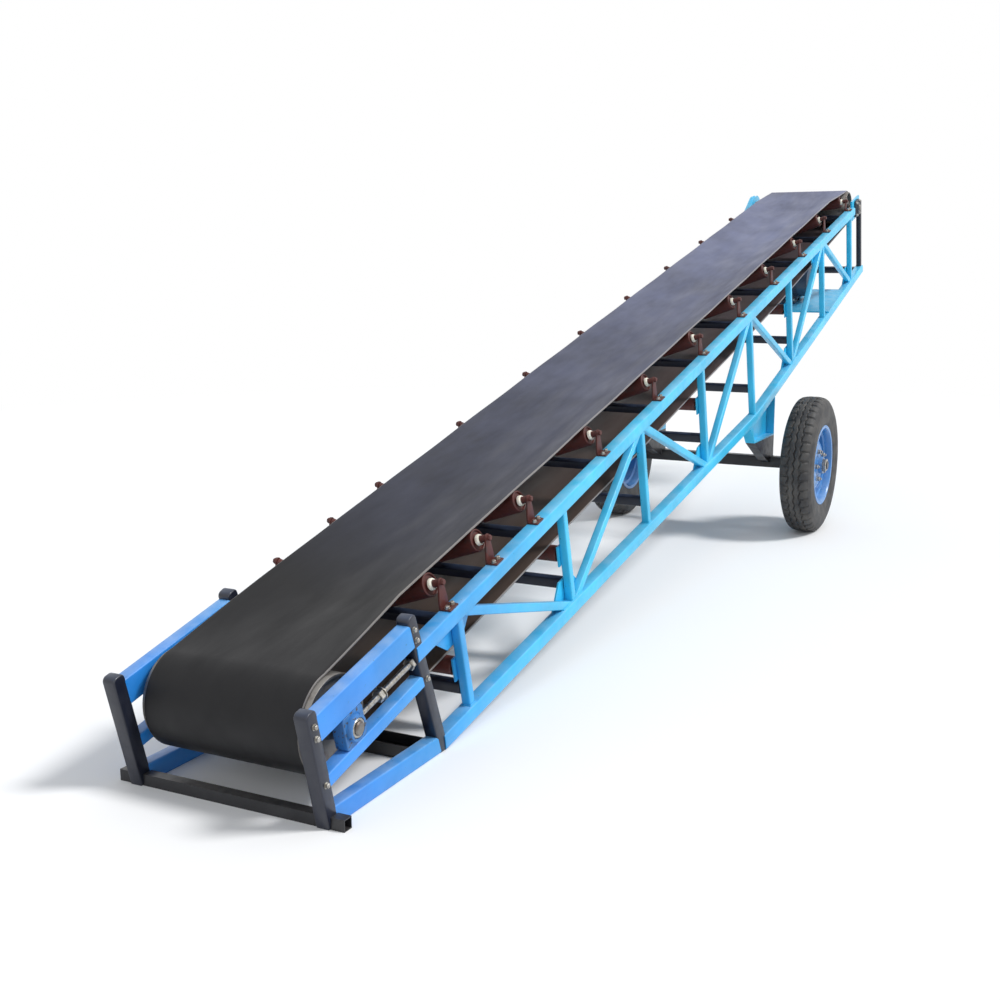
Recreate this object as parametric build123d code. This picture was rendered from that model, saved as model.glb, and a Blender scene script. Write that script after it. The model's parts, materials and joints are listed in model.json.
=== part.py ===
from build123d import *
import math
import os

os.makedirs("parts", exist_ok=True)

# Portable belt conveyor: a tilted steel truss on two road wheels carries a troughed rubber belt.
# Millimetres and degrees. +X runs from the loading tail to the discharge head, +Y to the left,
# +Z up, and the floor is z = 0.
# Belt coordinates are (s, y, n): s runs up the incline, y to the left, and n square to the belt.
# Their origin is on the centre line of the top chords, CHORD_LINE_HEIGHT above the floor.

# Belt line
INCLINE = 14.2
CHORD_LINE_HEIGHT = 272.0
RUNNING_GAP = 0.3
SHAFT_FIT = 0.05
CUT_MARGIN = 1.0
CHORD_SEARCH_STEPS = 8

# Belt
BELT_WIDTH = 520.0
BELT_THICKNESS = 8.0
TROUGH_ANGLE = 20.0
TROUGH_CENTRE_WIDTH = 180.0
BELT_CENTRE_N = 75.0
TAIL_TRANSITION = 428.0
HEAD_TRANSITION = 445.0

# Side trusses
FRAME_CLEARANCE = 33.0
CHORD_SIZE = 50.0
CHORD_WALL = 4.0
WEB_SIZE = 32.0
WEB_WALL = 3.0
FIRST_PANEL_S = 557.0
PANEL_LENGTH = 800.0
PANEL_COUNT = 7
KNUCKLE_PANEL = 4
KNUCKLE_DEPTH = 565.0
HEAD_OVERHANG = 330.0
HEAD_DEPTH = 455.0
DRIVE_PANEL = 6
CROSS_SIZE = 40.0
CROSS_WALL = 3.0
GUSSET_THICKNESS = 6.0
GUSSET_DEPTH = 90.0
GUSSET_FOOT = 150.0
GUSSET_TIP = 50.0

# Tail frame
FRONT_POST_S = -212.0
POST_TOP_N = 127.0
POST_SIZE = 44.0
POST_WALL = 4.0
SECOND_POST_TOP_S = 290.0
SECOND_POST_FOOT_X = 432.0
UPPER_RAIL_N = 66.0
UPPER_RAIL_DEPTH = 80.0
LOWER_RAIL_DEPTH = 40.0
RAIL_WIDTH = 44.0
RAIL_WALL = 4.0
BOTTOM_RAIL_DEPTH = 56.0
TAIL_BAR_SIZE = 34.0
TAIL_BAR_OVERHANG = 42.0
FLOOR_CHANNEL_WIDTH = 92.0
FLOOR_CHANNEL_DEPTH = 40.0
FLOOR_CHANNEL_WALL = 5.0
FLOOR_CHANNEL_GAP = 2.0

# Drums
DRUM_SHELL = 10.0
DRUM_END_INSET = 18.0
DRUM_HUB_R = 44.0
DRUM_OVERHANG = 15.0
DRUM_SIDES = 24
SHAFT_R = 20.0
SHAFT_END = 6.0
TAIL_DRUM_R = 138.0
TAIL_DRUM_S = -48.0
TAIL_DRUM_N = -24.0
HEAD_DRUM_R = 108.0
HEAD_DRUM_SETBACK = 142.0
HEAD_DRUM_N = 0.0

# Take-up
BLOCK_LENGTH = 96.0
BLOCK_WIDTH = 40.0
HOUSING_R = 40.0
HOUSING_DEPTH = 12.0
HOUSING_SIDES = 16
SCREW_R = 9.0
SCREW_SIDES = 8
NUT_ACROSS = 34.0
NUT_THICKNESS = 18.0
NUT_SETBACK = 96.0

# Idlers
IDLER_LEAD = 148.0
LOADING_PITCH = 312.0
LOADING_SETS = 2
CARRY_PITCH = 624.0
LAST_IDLER_GAP = 180.0
ROLLER_R = 38.0
ROLLER_LENGTH = 165.0
ROLLER_SIDES = 8
ROLLER_START = 8.0
STUB_R = 12.0
STUB_SIDES = 4
IDLER_BAR_DEPTH = 30.0
IDLER_BAR_WIDTH = 40.0
IDLER_BAR_TOP_N = -8.0
BRACKET_THICKNESS = 6.0
BRACKET_LENGTH = 50.0
BRACKET_GAP = 3.5
INNER_BRACKET_TOP_N = 58.0
OUTER_BRACKET_TOP_N = 128.0
SEAL_R = 19.0
SEAL_LENGTH = 12.0
SEAL_SIDES = 6
SEAL_GAP = 0.3

# Return rollers
RETURN_ROLLER_R = 30.0
RETURN_PANELS = (0, 1, 3, 5)
HANGER_LENGTH = 60.0
HANGER_THICKNESS = 6.0
HANGER_REACH = 40.0
HANGER_GAP = 9.0

# Undercarriage
WHEEL_D = 740.0
WHEEL_TRACK = 1116.0
WHEEL_SIDES = 28
TYRE_STATIONS = (
    # distance from the wheel's middle plane, radius, from bead to tread
    (62.0, 203.0),
    (82.0, 246.0),
    (88.0, 290.0),
    (76.0, 340.0),
    (56.0, 364.0),
    (26.0, 370.0),
)
RIM_R = 203.0
RIM_WIDTH = 140.0
RIM_WALL = 8.0
DISC_RIM_Y = 8.0
DISC_HUB_Y = 46.0
DISC_WALL = 8.0
HAND_HOLES = 6
HAND_HOLE_R = 22.0
HAND_HOLE_PITCH_R = 140.0
HAND_HOLE_SIDES = 8
AXLE_SETBACK = 320.0
AXLE_SIZE = 60.0
SPINDLE_R = 22.5
SPINDLE_NUT_LENGTH = 24.0
SPINDLE_NUT_GAP = 1.0
SPINDLE_NUT_ACROSS = 74.0
HUB_R = 52.0
HUB_LENGTH = 150.0
HUB_SIDES = 16
HUB_GAP = 5.0
LEG_FOOT_Z = 515.0
LEG_TOP_REAR = 455.0
LEG_FOOT_REAR = 350.0
LEG_FRONT = 38.0
LEG_PLATE = 8.0
SADDLE_REAR = 90.0

# Drive
MOTOR_LEAD = 305.0
MOTOR_R = 105.0
MOTOR_SIDES = 36
MOTOR_LENGTH = 190.0
COWL_R = 96.0
COWL_LENGTH = 60.0
TERMINAL_BOX = (110.0, 90.0, 50.0)
MOTOR_FOOT = (180.0, 150.0, 20.0)
GEARBOX_SIZE = (240.0, 150.0, 300.0)
GEARBOX_Y = 150.0
GEARBOX_FOOT = (290.0, 24.0)
GEARBOX_RIB = 12.0
OUTPUT_AXIS_HEIGHT = 200.0
OUTPUT_BOSS_R = 62.0
OUTPUT_BOSS_LENGTH = 16.0
BASE_PLATE_THICKNESS = 10.0
BASE_PLATE_LENGTH = 460.0
HEAD_PLATE_THICKNESS = 12.0
HEAD_PLATE_REACH = 110.0
HEAD_PLATE_HEIGHT = 130.0
FLANGE_SIZE = 108.0
FLANGE_THICKNESS = 14.0
HANGER_PLATE_LENGTH = 400.0
HANGER_PLATE_DEPTH = 110.0
HANGER_PLATE_THICKNESS = 8.0
HANGER_PLATE_HOLE_R = 22.0
HANGER_HOLE_SIDES = 12
GUARD_WIDTH = 44.0
GUARD_GAP = 8.0
GUARD_LOW_R = 74.0
GUARD_HIGH_R = 98.0
GUARD_SIDES = 24
GUARD_ENTRY = 24.0
GUARD_STAY = 36.0

half_belt = BELT_WIDTH / 2
inner_face = half_belt + FRAME_CLEARANCE
chord_half = CHORD_SIZE / 2
half_truss = inner_face + chord_half
web_face = half_truss - WEB_SIZE / 2
gusset_face = web_face - GUSSET_THICKNESS
block_height = 2 * (UPPER_RAIL_N - UPPER_RAIL_DEPTH / 2 - TAIL_DRUM_N)
sides = (("right", -1), ("left", 1))
cos_i = math.cos(math.radians(INCLINE))
sin_i = math.sin(math.radians(INCLINE))
sin_t = math.sin(math.radians(TROUGH_ANGLE))
belt_frame = Plane(origin=(0, 0, CHORD_LINE_HEIGHT), x_dir=(cos_i, 0, sin_i), z_dir=(-sin_i, 0, cos_i))
level_from_belt = belt_frame.location
belt_from_level = belt_frame.location.inverse()


def to_belt(x, z):
    """Belt coordinates (s, n) of a point of the side view given as (x, z)."""
    rise = z - CHORD_LINE_HEIGHT
    return (x * cos_i + rise * sin_i, -x * sin_i + rise * cos_i)


def from_belt(s, n):
    """Side view point (x, z) of a point given in belt coordinates (s, n)."""
    return (s * cos_i - n * sin_i, CHORD_LINE_HEIGHT + s * sin_i + n * cos_i)


def slab(points, y_a, y_b):
    """Prism whose side view outline is points, between y_a and y_b."""
    y_low, y_high = sorted((y_a, y_b))
    plane = Plane(origin=(0, y_low, 0), x_dir=(1, 0, 0), z_dir=(0, -1, 0))
    face = make_face(plane * Polyline(*points, close=True))
    return extrude(face, amount=y_high - y_low, dir=(0, 1, 0))


def ribbon(points, half):
    """Outline of a band of half width along a chain of side view points, mitred at its bends."""
    left, right = [], []
    for i, (a, b) in enumerate(points):
        before = points[max(i - 1, 0)]
        after = points[min(i + 1, len(points) - 1)]
        runs = [(a - before[0], b - before[1]), (after[0] - a, after[1] - b)]
        units = [(u / math.hypot(u, v), v / math.hypot(u, v)) for u, v in runs if (u, v) != (0, 0)]
        sum_u = sum(u for u, v in units)
        sum_v = sum(v for u, v in units)
        size = math.hypot(sum_u, sum_v)
        step = half * len(units) / size
        left.append((a - sum_v / size * step, b + sum_u / size * step))
        right.append((a + sum_v / size * step, b - sum_u / size * step))
    return left + right[::-1]


def bar(points, depth, y_mid, width):
    """Solid bar of depth by width along side view points."""
    return slab(ribbon(points, depth / 2), y_mid - width / 2, y_mid + width / 2)


def stretched(points, extra):
    """The same chain of points with both ends carried on by extra."""
    def beyond(end, inner):
        span = math.hypot(end[0] - inner[0], end[1] - inner[1])
        return tuple(e + (e - i) / span * extra for e, i in zip(end, inner))
    return [beyond(points[0], points[1])] + list(points[1:-1]) + [beyond(points[-1], points[-2])]


def tube(points, depth, y_mid, width, wall):
    """Open-ended rectangular tube along side view points."""
    bore = bar(stretched(points, wall), depth - 2 * wall, y_mid, width - 2 * wall)
    return bar(points, depth, y_mid, width) - bore


def cross_tube(s, n, depth, width, wall, half_length, tilt=0.0):
    """Rectangular tube across the machine, its middle at (s, n)."""
    outer = Box(width, 2 * half_length, depth)
    bore = Box(width - 2 * wall, 2 * (half_length + wall), depth - 2 * wall)
    return Pos(s, 0, n) * Rot(0, tilt, 0) * (outer - bore)


def across(radius, y_a, y_b, s=0.0, n=0.0):
    """Round bar across the machine at (s, n)."""
    return Pos(s, (y_a + y_b) / 2, n) * Rot(90, 0, 0) * Cylinder(radius, abs(y_b - y_a))


def many_sided(radius, count, y_a, y_b, s=0.0, n=0.0):
    """Round bar across the machine drawn with count flats, for what repeats."""
    y_low, y_high = sorted((y_a, y_b))
    plane = Plane(origin=(s, y_low, n), x_dir=(1, 0, 0), z_dir=(0, -1, 0))
    return extrude(plane * RegularPolygon(radius, count), amount=y_high - y_low, dir=(0, 1, 0))


def turned(section, count):
    """Ring about the Y axis with a closed (y, radius) section, drawn with count flats."""
    angles = [2 * math.pi * i / count for i in range(count)]
    rings = [[(r * math.cos(a), y, r * math.sin(a)) for a in angles] for y, r in section]
    flats = []
    for near, far in zip(rings, rings[1:] + rings[:1]):
        for i in range(count):
            j = (i + 1) % count
            flats.append(Face(Wire.make_polygon([near[i], near[j], far[j], far[i]])))
    return Solid(Shell(flats))


def cut_by(piece, cutters):
    """Piece less each cutter, keeping its largest solid."""
    for cutter in cutters:
        piece = piece - cutter
    return max(piece.solids(), key=lambda solid: solid.volume)


def above_floor(piece):
    """Piece in belt coordinates cut off level at the floor."""
    size = piece.bounding_box().size
    reach = 2 * (size.X + size.Y + size.Z) + CHORD_LINE_HEIGHT
    ground = Pos(piece.bounding_box().center().X, 0, -reach / 2) * Box(4 * reach, 4 * reach, reach)
    return piece - belt_from_level * ground


# Side view skeleton, in belt coordinates
foot_low = to_belt(SECOND_POST_FOOT_X, 0)
foot_axis = to_belt(SECOND_POST_FOOT_X, chord_half)
second_post_top = (SECOND_POST_TOP_S, POST_TOP_N)
front_post_foot_n = -(CHORD_LINE_HEIGHT + FRONT_POST_S * sin_i) / cos_i
panel_stations = [FIRST_PANEL_S + k * PANEL_LENGTH for k in range(PANEL_COUNT + 1)]
knuckle = (panel_stations[KNUCKLE_PANEL], -KNUCKLE_DEPTH)
truss_end_s = panel_stations[-1] + HEAD_OVERHANG
head_drum_s = truss_end_s - HEAD_DRUM_SETBACK
head_plate_rear_s = head_drum_s - HEAD_PLATE_REACH
trough_start_s = TAIL_DRUM_S + TAIL_TRANSITION
trough_end_s = head_drum_s - HEAD_TRANSITION
bottom_line = [foot_axis, knuckle, (truss_end_s, -HEAD_DEPTH)]
top_line = [(SECOND_POST_TOP_S, 0), (head_plate_rear_s, 0)]


def bottom_n(s):
    """Level of the bottom chord's centre line at s."""
    for (s0, n0), (s1, n1) in zip(bottom_line, bottom_line[1:]):
        if s <= s1:
            return n0 + (n1 - n0) * (s - s0) / (s1 - s0)
    return bottom_line[-1][1]


front_foot_x = from_belt(FRONT_POST_S, front_post_foot_n)[0]
front_bar_s, front_bar_n = to_belt(front_foot_x, TAIL_BAR_SIZE / 2)
front_bar_half = half_truss + POST_SIZE / 2 + TAIL_BAR_OVERHANG
front_bar_solid = Pos(front_bar_s, 0, front_bar_n) * Rot(0, INCLINE, 0) * Box(
    TAIL_BAR_SIZE, 2 * front_bar_half, TAIL_BAR_SIZE)
parts = {}
group_names = ("front_posts", "second_posts", "upper_rails", "lower_rails", "end_uprights", "gussets",
               "head_plates", "head_bearings", "takeup_blocks", "takeup_screws", "axle_saddles")
groups = {name: [] for name in group_names}

for side, sign in sides:
    y = sign * half_truss
    # Whole outlines of the members that others butt against
    front_line = [(FRONT_POST_S, front_post_foot_n - POST_SIZE), (FRONT_POST_S, POST_TOP_N)]
    second_line = stretched([foot_low, second_post_top], POST_SIZE)[:1] + [second_post_top]
    front_solid = bar(front_line, POST_SIZE, y, 2 * CHORD_SIZE)
    second_solid = bar(second_line, POST_SIZE, y, 2 * CHORD_SIZE)
    chord_solid = bar(bottom_line, CHORD_SIZE, y, CHORD_SIZE)
    top_solid = bar([top_line[0], (truss_end_s, 0)], CHORD_SIZE, y, CHORD_SIZE)

    # Tail frame: posts, rails between them
    front_post = above_floor(tube(front_line, POST_SIZE, y, POST_SIZE, POST_WALL))
    groups["front_posts"].append(cut_by(front_post, (front_bar_solid,)))
    groups["second_posts"].append(above_floor(tube(second_line, POST_SIZE, y, POST_SIZE, POST_WALL)))
    lower_rail_n = TAIL_DRUM_N - (block_height + LOWER_RAIL_DEPTH) / 2
    rail_start_x = from_belt(FRONT_POST_S, front_post_foot_n + BOTTOM_RAIL_DEPTH / 2)[0]
    rail_table = (
        # name, depth, start (s, n), end (s, n)
        ("upper_rails", UPPER_RAIL_DEPTH, (FRONT_POST_S, UPPER_RAIL_N), (SECOND_POST_TOP_S, UPPER_RAIL_N)),
        ("lower_rails", LOWER_RAIL_DEPTH, (FRONT_POST_S, lower_rail_n),
         (SECOND_POST_TOP_S + POST_SIZE, lower_rail_n)),
        ("bottom_rail", BOTTOM_RAIL_DEPTH, to_belt(rail_start_x, BOTTOM_RAIL_DEPTH / 2),
         to_belt(SECOND_POST_FOOT_X, BOTTOM_RAIL_DEPTH / 2)),
    )
    for name, depth, start, end in rail_table:
        rail = tube([start, end], depth, y, RAIL_WIDTH, RAIL_WALL)
        rail = cut_by(rail, (front_solid, second_solid, front_bar_solid))
        if name in groups:
            groups[name].append(rail)
        else:
            parts[f"{name}_{side}"] = rail

    # Chords of the truss
    top_chord = tube(top_line, CHORD_SIZE, y, CHORD_SIZE, CHORD_WALL)
    parts[f"top_chord_{side}"] = cut_by(top_chord, (second_solid,))
    bottom_chord = above_floor(tube(bottom_line, CHORD_SIZE, y, CHORD_SIZE, CHORD_WALL))
    parts[f"bottom_chord_{side}"] = cut_by(bottom_chord, (second_solid,))

    # Web of uprights at each panel point, and diagonals between them
    web = []
    uprights = []
    for s in panel_stations:
        line = [(s, 0), (s, bottom_n(s))]
        uprights.append(bar(line, WEB_SIZE, y, WEB_SIZE))
        web.append(cut_by(tube(line, WEB_SIZE, y, WEB_SIZE, WEB_WALL), (top_solid, chord_solid)))
    for k in range(PANEL_COUNT):
        s0, s1 = panel_stations[k], panel_stations[k + 1]
        line = [(s0, 0), (s1, bottom_n(s1))] if k % 2 == 0 else [(s0, bottom_n(s0)), (s1, 0)]
        diagonal = tube(line, WEB_SIZE, y, WEB_SIZE, WEB_WALL)
        web.append(cut_by(diagonal, (top_solid, chord_solid, uprights[k], uprights[k + 1])))
    parts[f"web_{side}"] = web

    # Gussets on the inside of the web, where its diagonals meet a chord
    for k, s in enumerate(panel_stations):
        if k == DRIVE_PANEL:
            continue
        up = 1 if k % 2 == 0 else -1
        root_n = -chord_half if up > 0 else bottom_n(s)
        tip_n = root_n - GUSSET_DEPTH if up > 0 else root_n + chord_half + GUSSET_DEPTH
        outline = [(s - GUSSET_FOOT, root_n), (s + GUSSET_FOOT, root_n), (s + GUSSET_TIP, tip_n),
                   (s - GUSSET_TIP, tip_n)]
        gusset = slab(outline, sign * web_face, sign * gusset_face)
        groups["gussets"].append(cut_by(gusset, (top_solid, chord_solid)))

    # Head end: upright at the tip, and the plate that carries the head bearing
    tip_s = truss_end_s - WEB_SIZE / 2
    tip_line = [(tip_s, chord_half), (tip_s, -HEAD_DEPTH)]
    groups["end_uprights"].append(cut_by(tube(tip_line, WEB_SIZE, y, WEB_SIZE, WEB_WALL), (chord_solid,)))
    plate_low = HEAD_DRUM_N - HEAD_PLATE_HEIGHT / 2
    plate_high = HEAD_DRUM_N + HEAD_PLATE_HEIGHT / 2
    plate_tip = tip_s - WEB_SIZE / 2
    plate_outline = [(head_plate_rear_s, plate_low), (plate_tip, plate_low), (plate_tip, plate_high),
                     (head_plate_rear_s, plate_high)]
    plate = slab(plate_outline, y - HEAD_PLATE_THICKNESS / 2, y + HEAD_PLATE_THICKNESS / 2)
    bore = across(SHAFT_R + SHAFT_FIT, y - BLOCK_WIDTH, y + BLOCK_WIDTH, head_drum_s, HEAD_DRUM_N)
    groups["head_plates"].append(plate - bore)

    # Head bearing: square flange with a round housing, bolted to the outside of its plate
    flange_y = y + sign * (HEAD_PLATE_THICKNESS + FLANGE_THICKNESS) / 2
    housing_y = flange_y + sign * FLANGE_THICKNESS / 2
    flange = Pos(head_drum_s, flange_y, HEAD_DRUM_N) * Box(FLANGE_SIZE, FLANGE_THICKNESS, FLANGE_SIZE)
    flange += many_sided(HOUSING_R, HOUSING_SIDES, housing_y, housing_y + sign * HOUSING_DEPTH,
                         head_drum_s, HEAD_DRUM_N)
    groups["head_bearings"].append(flange - bore)

    # Take-up: bearing block between the rails, drawn by a screw from the second post
    block = Pos(TAIL_DRUM_S, y, TAIL_DRUM_N) * Box(BLOCK_LENGTH, BLOCK_WIDTH, block_height)
    ring_y = y + sign * BLOCK_WIDTH / 2
    block += many_sided(HOUSING_R, HOUSING_SIDES, ring_y, ring_y + sign * HOUSING_DEPTH,
                        TAIL_DRUM_S, TAIL_DRUM_N)
    block -= across(SHAFT_R + SHAFT_FIT, y - BLOCK_WIDTH, y + BLOCK_WIDTH, TAIL_DRUM_S, TAIL_DRUM_N)
    groups["takeup_blocks"].append(block)
    screw_start = TAIL_DRUM_S + BLOCK_LENGTH / 2
    screw_end = SECOND_POST_TOP_S + POST_SIZE
    screw = Pos(screw_start, y, TAIL_DRUM_N) * Rot(0, 90, 0) * extrude(
        RegularPolygon(SCREW_R, SCREW_SIDES), amount=screw_end - screw_start)
    nut = extrude(RegularPolygon(NUT_ACROSS / 2, 6, major_radius=False), amount=NUT_THICKNESS)
    screw += Pos(screw_start + NUT_SETBACK, y, TAIL_DRUM_N) * Rot(0, 90, 0) * nut
    groups["takeup_screws"].append(cut_by(screw, (second_solid,)))

# Bars across the tail frame: a tube below the front posts, whose ends stick out, and a channel that
# lies open side up between the bottom rails, behind the second posts
rail_inner = half_truss - RAIL_WIDTH / 2
channel_x = SECOND_POST_FOOT_X - POST_SIZE / 2 - FLOOR_CHANNEL_GAP - FLOOR_CHANNEL_WIDTH / 2
channel_s, channel_n = to_belt(channel_x, FLOOR_CHANNEL_DEPTH / 2)
channel = Box(FLOOR_CHANNEL_WIDTH, 2 * rail_inner, FLOOR_CHANNEL_DEPTH)
channel -= Pos(0, 0, FLOOR_CHANNEL_WALL) * Box(FLOOR_CHANNEL_WIDTH - 2 * FLOOR_CHANNEL_WALL,
                                               2 * (rail_inner + CUT_MARGIN), FLOOR_CHANNEL_DEPTH)
parts["tail_cross_bars"] = [
    cross_tube(front_bar_s, front_bar_n, TAIL_BAR_SIZE, TAIL_BAR_SIZE, CROSS_WALL, front_bar_half, INCLINE),
    Pos(channel_s, 0, channel_n) * Rot(0, INCLINE, 0) * channel,
]

# Bars across between the webs' uprights, and one between the bottom chords at the tip
cross_table = (
    # panel point, height above the bottom chord's centre line
    (0, 84.0), (1, 92.0), (2, 120.0), (3, 145.0), (4, 165.0), (5, 150.0), (7, 90.0),
)
cross_members = []
for k, height in cross_table:
    beside_gusset = k % 2 == 1 and height - CROSS_SIZE / 2 < chord_half + GUSSET_DEPTH
    half_length = gusset_face if beside_gusset else web_face
    s = panel_stations[k]
    cross_members.append(cross_tube(s, bottom_n(s) + height, CROSS_SIZE, WEB_SIZE, CROSS_WALL, half_length))
cross_members.append(cross_tube(truss_end_s - CROSS_SIZE, bottom_n(truss_end_s), CROSS_SIZE, CROSS_SIZE,
                                CROSS_WALL, inner_face))
parts["cross_members"] = cross_members

# Idlers
first_idler_s = trough_start_s + IDLER_LEAD
idler_stations = [first_idler_s + i * LOADING_PITCH for i in range(LOADING_SETS)]
carry_start = first_idler_s + LOADING_SETS * LOADING_PITCH
carry_sets = int((head_drum_s - LAST_IDLER_GAP - carry_start) / CARRY_PITCH) + 1
idler_stations += [carry_start + i * CARRY_PITCH for i in range(carry_sets)]
fold_y = TROUGH_CENTRE_WIDTH / 2
wing_length = half_belt - fold_y
head_top_n = HEAD_DRUM_N + HEAD_DRUM_R + RUNNING_GAP
inner_bracket_y = ROLLER_LENGTH / 2 + BRACKET_GAP
outer_bracket_y = inner_face + BRACKET_GAP


def belt_shape(s):
    """Level of the belt's flat middle at s and the angle of its wings, which flatten towards the head."""
    share = max(0.0, (s - trough_end_s) / (head_drum_s - trough_end_s))
    level = BELT_CENTRE_N + share * (head_top_n - BELT_CENTRE_N)
    rise = (1 - share) * wing_length * sin_t
    return (level, math.degrees(math.asin(rise / wing_length)))


def wing_bar(s, sign, radius, count, t_low, t_high):
    """Round bar along a wing roller's axis, from t_low to t_high along the wing from the belt's fold."""
    level, angle = belt_shape(s)
    c, d = math.cos(math.radians(angle)), math.sin(math.radians(angle))
    drop = ROLLER_R + RUNNING_GAP
    y_mid, n_mid = fold_y + t_low * c + drop * d, level + t_low * d - drop * c
    rod = extrude(RegularPolygon(radius, count), amount=t_high - t_low)
    return Pos(s, sign * y_mid, n_mid) * Rot(-sign * (90 - angle), 0, 0) * rod


bar_parts, inner_brackets, outer_brackets, centre_rollers, wing_rollers, seals = [], [], [], [], [], []
for s in idler_stations:
    lift = belt_shape(s)[0] - BELT_CENTRE_N
    roller_axis_n = BELT_CENTRE_N + lift - RUNNING_GAP - ROLLER_R
    bar_parts.append(cross_tube(s, IDLER_BAR_TOP_N - IDLER_BAR_DEPTH / 2, IDLER_BAR_DEPTH,
                                IDLER_BAR_WIDTH, CROSS_WALL, inner_face))
    centre = many_sided(ROLLER_R, ROLLER_SIDES, -ROLLER_LENGTH / 2, ROLLER_LENGTH / 2, s, roller_axis_n)
    centre += many_sided(STUB_R, STUB_SIDES, -inner_bracket_y, inner_bracket_y, s, roller_axis_n)
    centre_rollers.append(centre)
    for side, sign in sides:
        height = INNER_BRACKET_TOP_N + lift - IDLER_BAR_TOP_N
        plate = Box(BRACKET_LENGTH, BRACKET_THICKNESS, height)
        y_mid = sign * (inner_bracket_y + BRACKET_THICKNESS / 2)
        inner_brackets.append(Pos(s, y_mid, IDLER_BAR_TOP_N + height / 2) * plate)
        # Outer bracket: an angle with its foot on the chord
        out_y = outer_bracket_y
        foot_y = half_truss + chord_half - BRACKET_THICKNESS
        outline = [(out_y, chord_half), (foot_y, chord_half), (foot_y, chord_half + BRACKET_THICKNESS),
                   (out_y + BRACKET_THICKNESS, chord_half + BRACKET_THICKNESS),
                   (out_y + BRACKET_THICKNESS, OUTER_BRACKET_TOP_N), (out_y, OUTER_BRACKET_TOP_N)]
        plane = Plane(origin=(s - BRACKET_LENGTH / 2, 0, 0), x_dir=(0, 1, 0), z_dir=(1, 0, 0))
        section = make_face(plane * Polyline(*[(sign * a, b) for a, b in outline], close=True))
        outer_brackets.append(extrude(section, amount=BRACKET_LENGTH, dir=(1, 0, 0)))
        # Wing roller with its stub between the brackets
        roller_end = ROLLER_START + ROLLER_LENGTH
        wing = wing_bar(s, sign, ROLLER_R, ROLLER_SIDES, ROLLER_START, roller_end)
        wing += wing_bar(s, sign, STUB_R, STUB_SIDES, ROLLER_START - ROLLER_R, roller_end + ROLLER_R)
        reach = 2 * ROLLER_LENGTH
        beyond_out = Pos(s, sign * (outer_bracket_y + reach / 2), 0) * Box(reach, reach, 2 * reach)
        inner_stop = inner_bracket_y + BRACKET_THICKNESS
        beyond_in = Pos(s, sign * (inner_stop - reach / 2), 0) * Box(reach, reach, 2 * reach)
        wing_rollers.append(cut_by(wing, (beyond_out, beyond_in)))
        # Seal in the wing roller's outer end, round its stub
        seal_end = roller_end + SEAL_LENGTH
        seal = wing_bar(s, sign, SEAL_R, SEAL_SIDES, roller_end + SEAL_GAP, seal_end)
        seal_bore = wing_bar(s, sign, STUB_R, STUB_SIDES, roller_end, seal_end + CUT_MARGIN)
        seals.append(cut_by(seal, (seal_bore,)))
parts["idler_bars"] = bar_parts
parts["idler_inner_brackets"] = inner_brackets
parts["idler_outer_brackets"] = outer_brackets
parts["centre_rollers"] = centre_rollers
parts["wing_rollers"] = wing_rollers
parts["idler_end_caps"] = seals

# Return rollers on hangers welded to the web's uprights
return_level = TAIL_DRUM_N - TAIL_DRUM_R - RUNNING_GAP
return_axis_n = return_level - BELT_THICKNESS - RUNNING_GAP - RETURN_ROLLER_R
hanger_inner = web_face - HANGER_THICKNESS
return_rollers, hangers = [], []
for k in RETURN_PANELS:
    s = panel_stations[k]
    roller_half = hanger_inner - HANGER_GAP
    roller = many_sided(RETURN_ROLLER_R, ROLLER_SIDES, -roller_half, roller_half, s, return_axis_n)
    roller += many_sided(STUB_R, STUB_SIDES, -hanger_inner, hanger_inner, s, return_axis_n)
    return_rollers.append(roller)
    for side, sign in sides:
        hanger = Box(HANGER_LENGTH, HANGER_THICKNESS, 2 * HANGER_REACH)
        hangers.append(Pos(s, sign * (hanger_inner + HANGER_THICKNESS / 2), return_axis_n) * hanger)
parts["return_rollers"] = return_rollers
parts["return_hangers"] = hangers


def drum(radius, s, n, shaft_right, shaft_left):
    """Belt drum with inset end discs on a through shaft."""
    half_face = half_belt + DRUM_OVERHANG
    body = many_sided(radius, DRUM_SIDES, -half_face, half_face, s, n)
    for sign in (-1, 1):
        ends = (sign * (half_face - DRUM_END_INSET), sign * (half_face + CUT_MARGIN))
        recess = many_sided(radius - DRUM_SHELL, DRUM_SIDES, *ends, s, n)
        body -= recess - many_sided(DRUM_HUB_R, HUB_SIDES, *ends, s, n)
    return body + across(SHAFT_R, -shaft_right, shaft_left, s, n)


tail_shaft_half = half_truss + BLOCK_WIDTH / 2 + HOUSING_DEPTH + SHAFT_END
head_shaft_half = half_truss + HEAD_PLATE_THICKNESS / 2 + FLANGE_THICKNESS + HOUSING_DEPTH + SHAFT_END
guard_inner = head_shaft_half + GUARD_GAP
driven_half = guard_inner + GUARD_ENTRY
parts["tail_drum"] = drum(TAIL_DRUM_R, TAIL_DRUM_S, TAIL_DRUM_N, tail_shaft_half, tail_shaft_half)
parts["head_drum"] = drum(HEAD_DRUM_R, head_drum_s, HEAD_DRUM_N, head_shaft_half, driven_half)

# Belt loop: flat over the drums, opening into a trough over the idlers
tail_r = TAIL_DRUM_R + RUNNING_GAP
head_r = HEAD_DRUM_R + RUNNING_GAP


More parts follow.
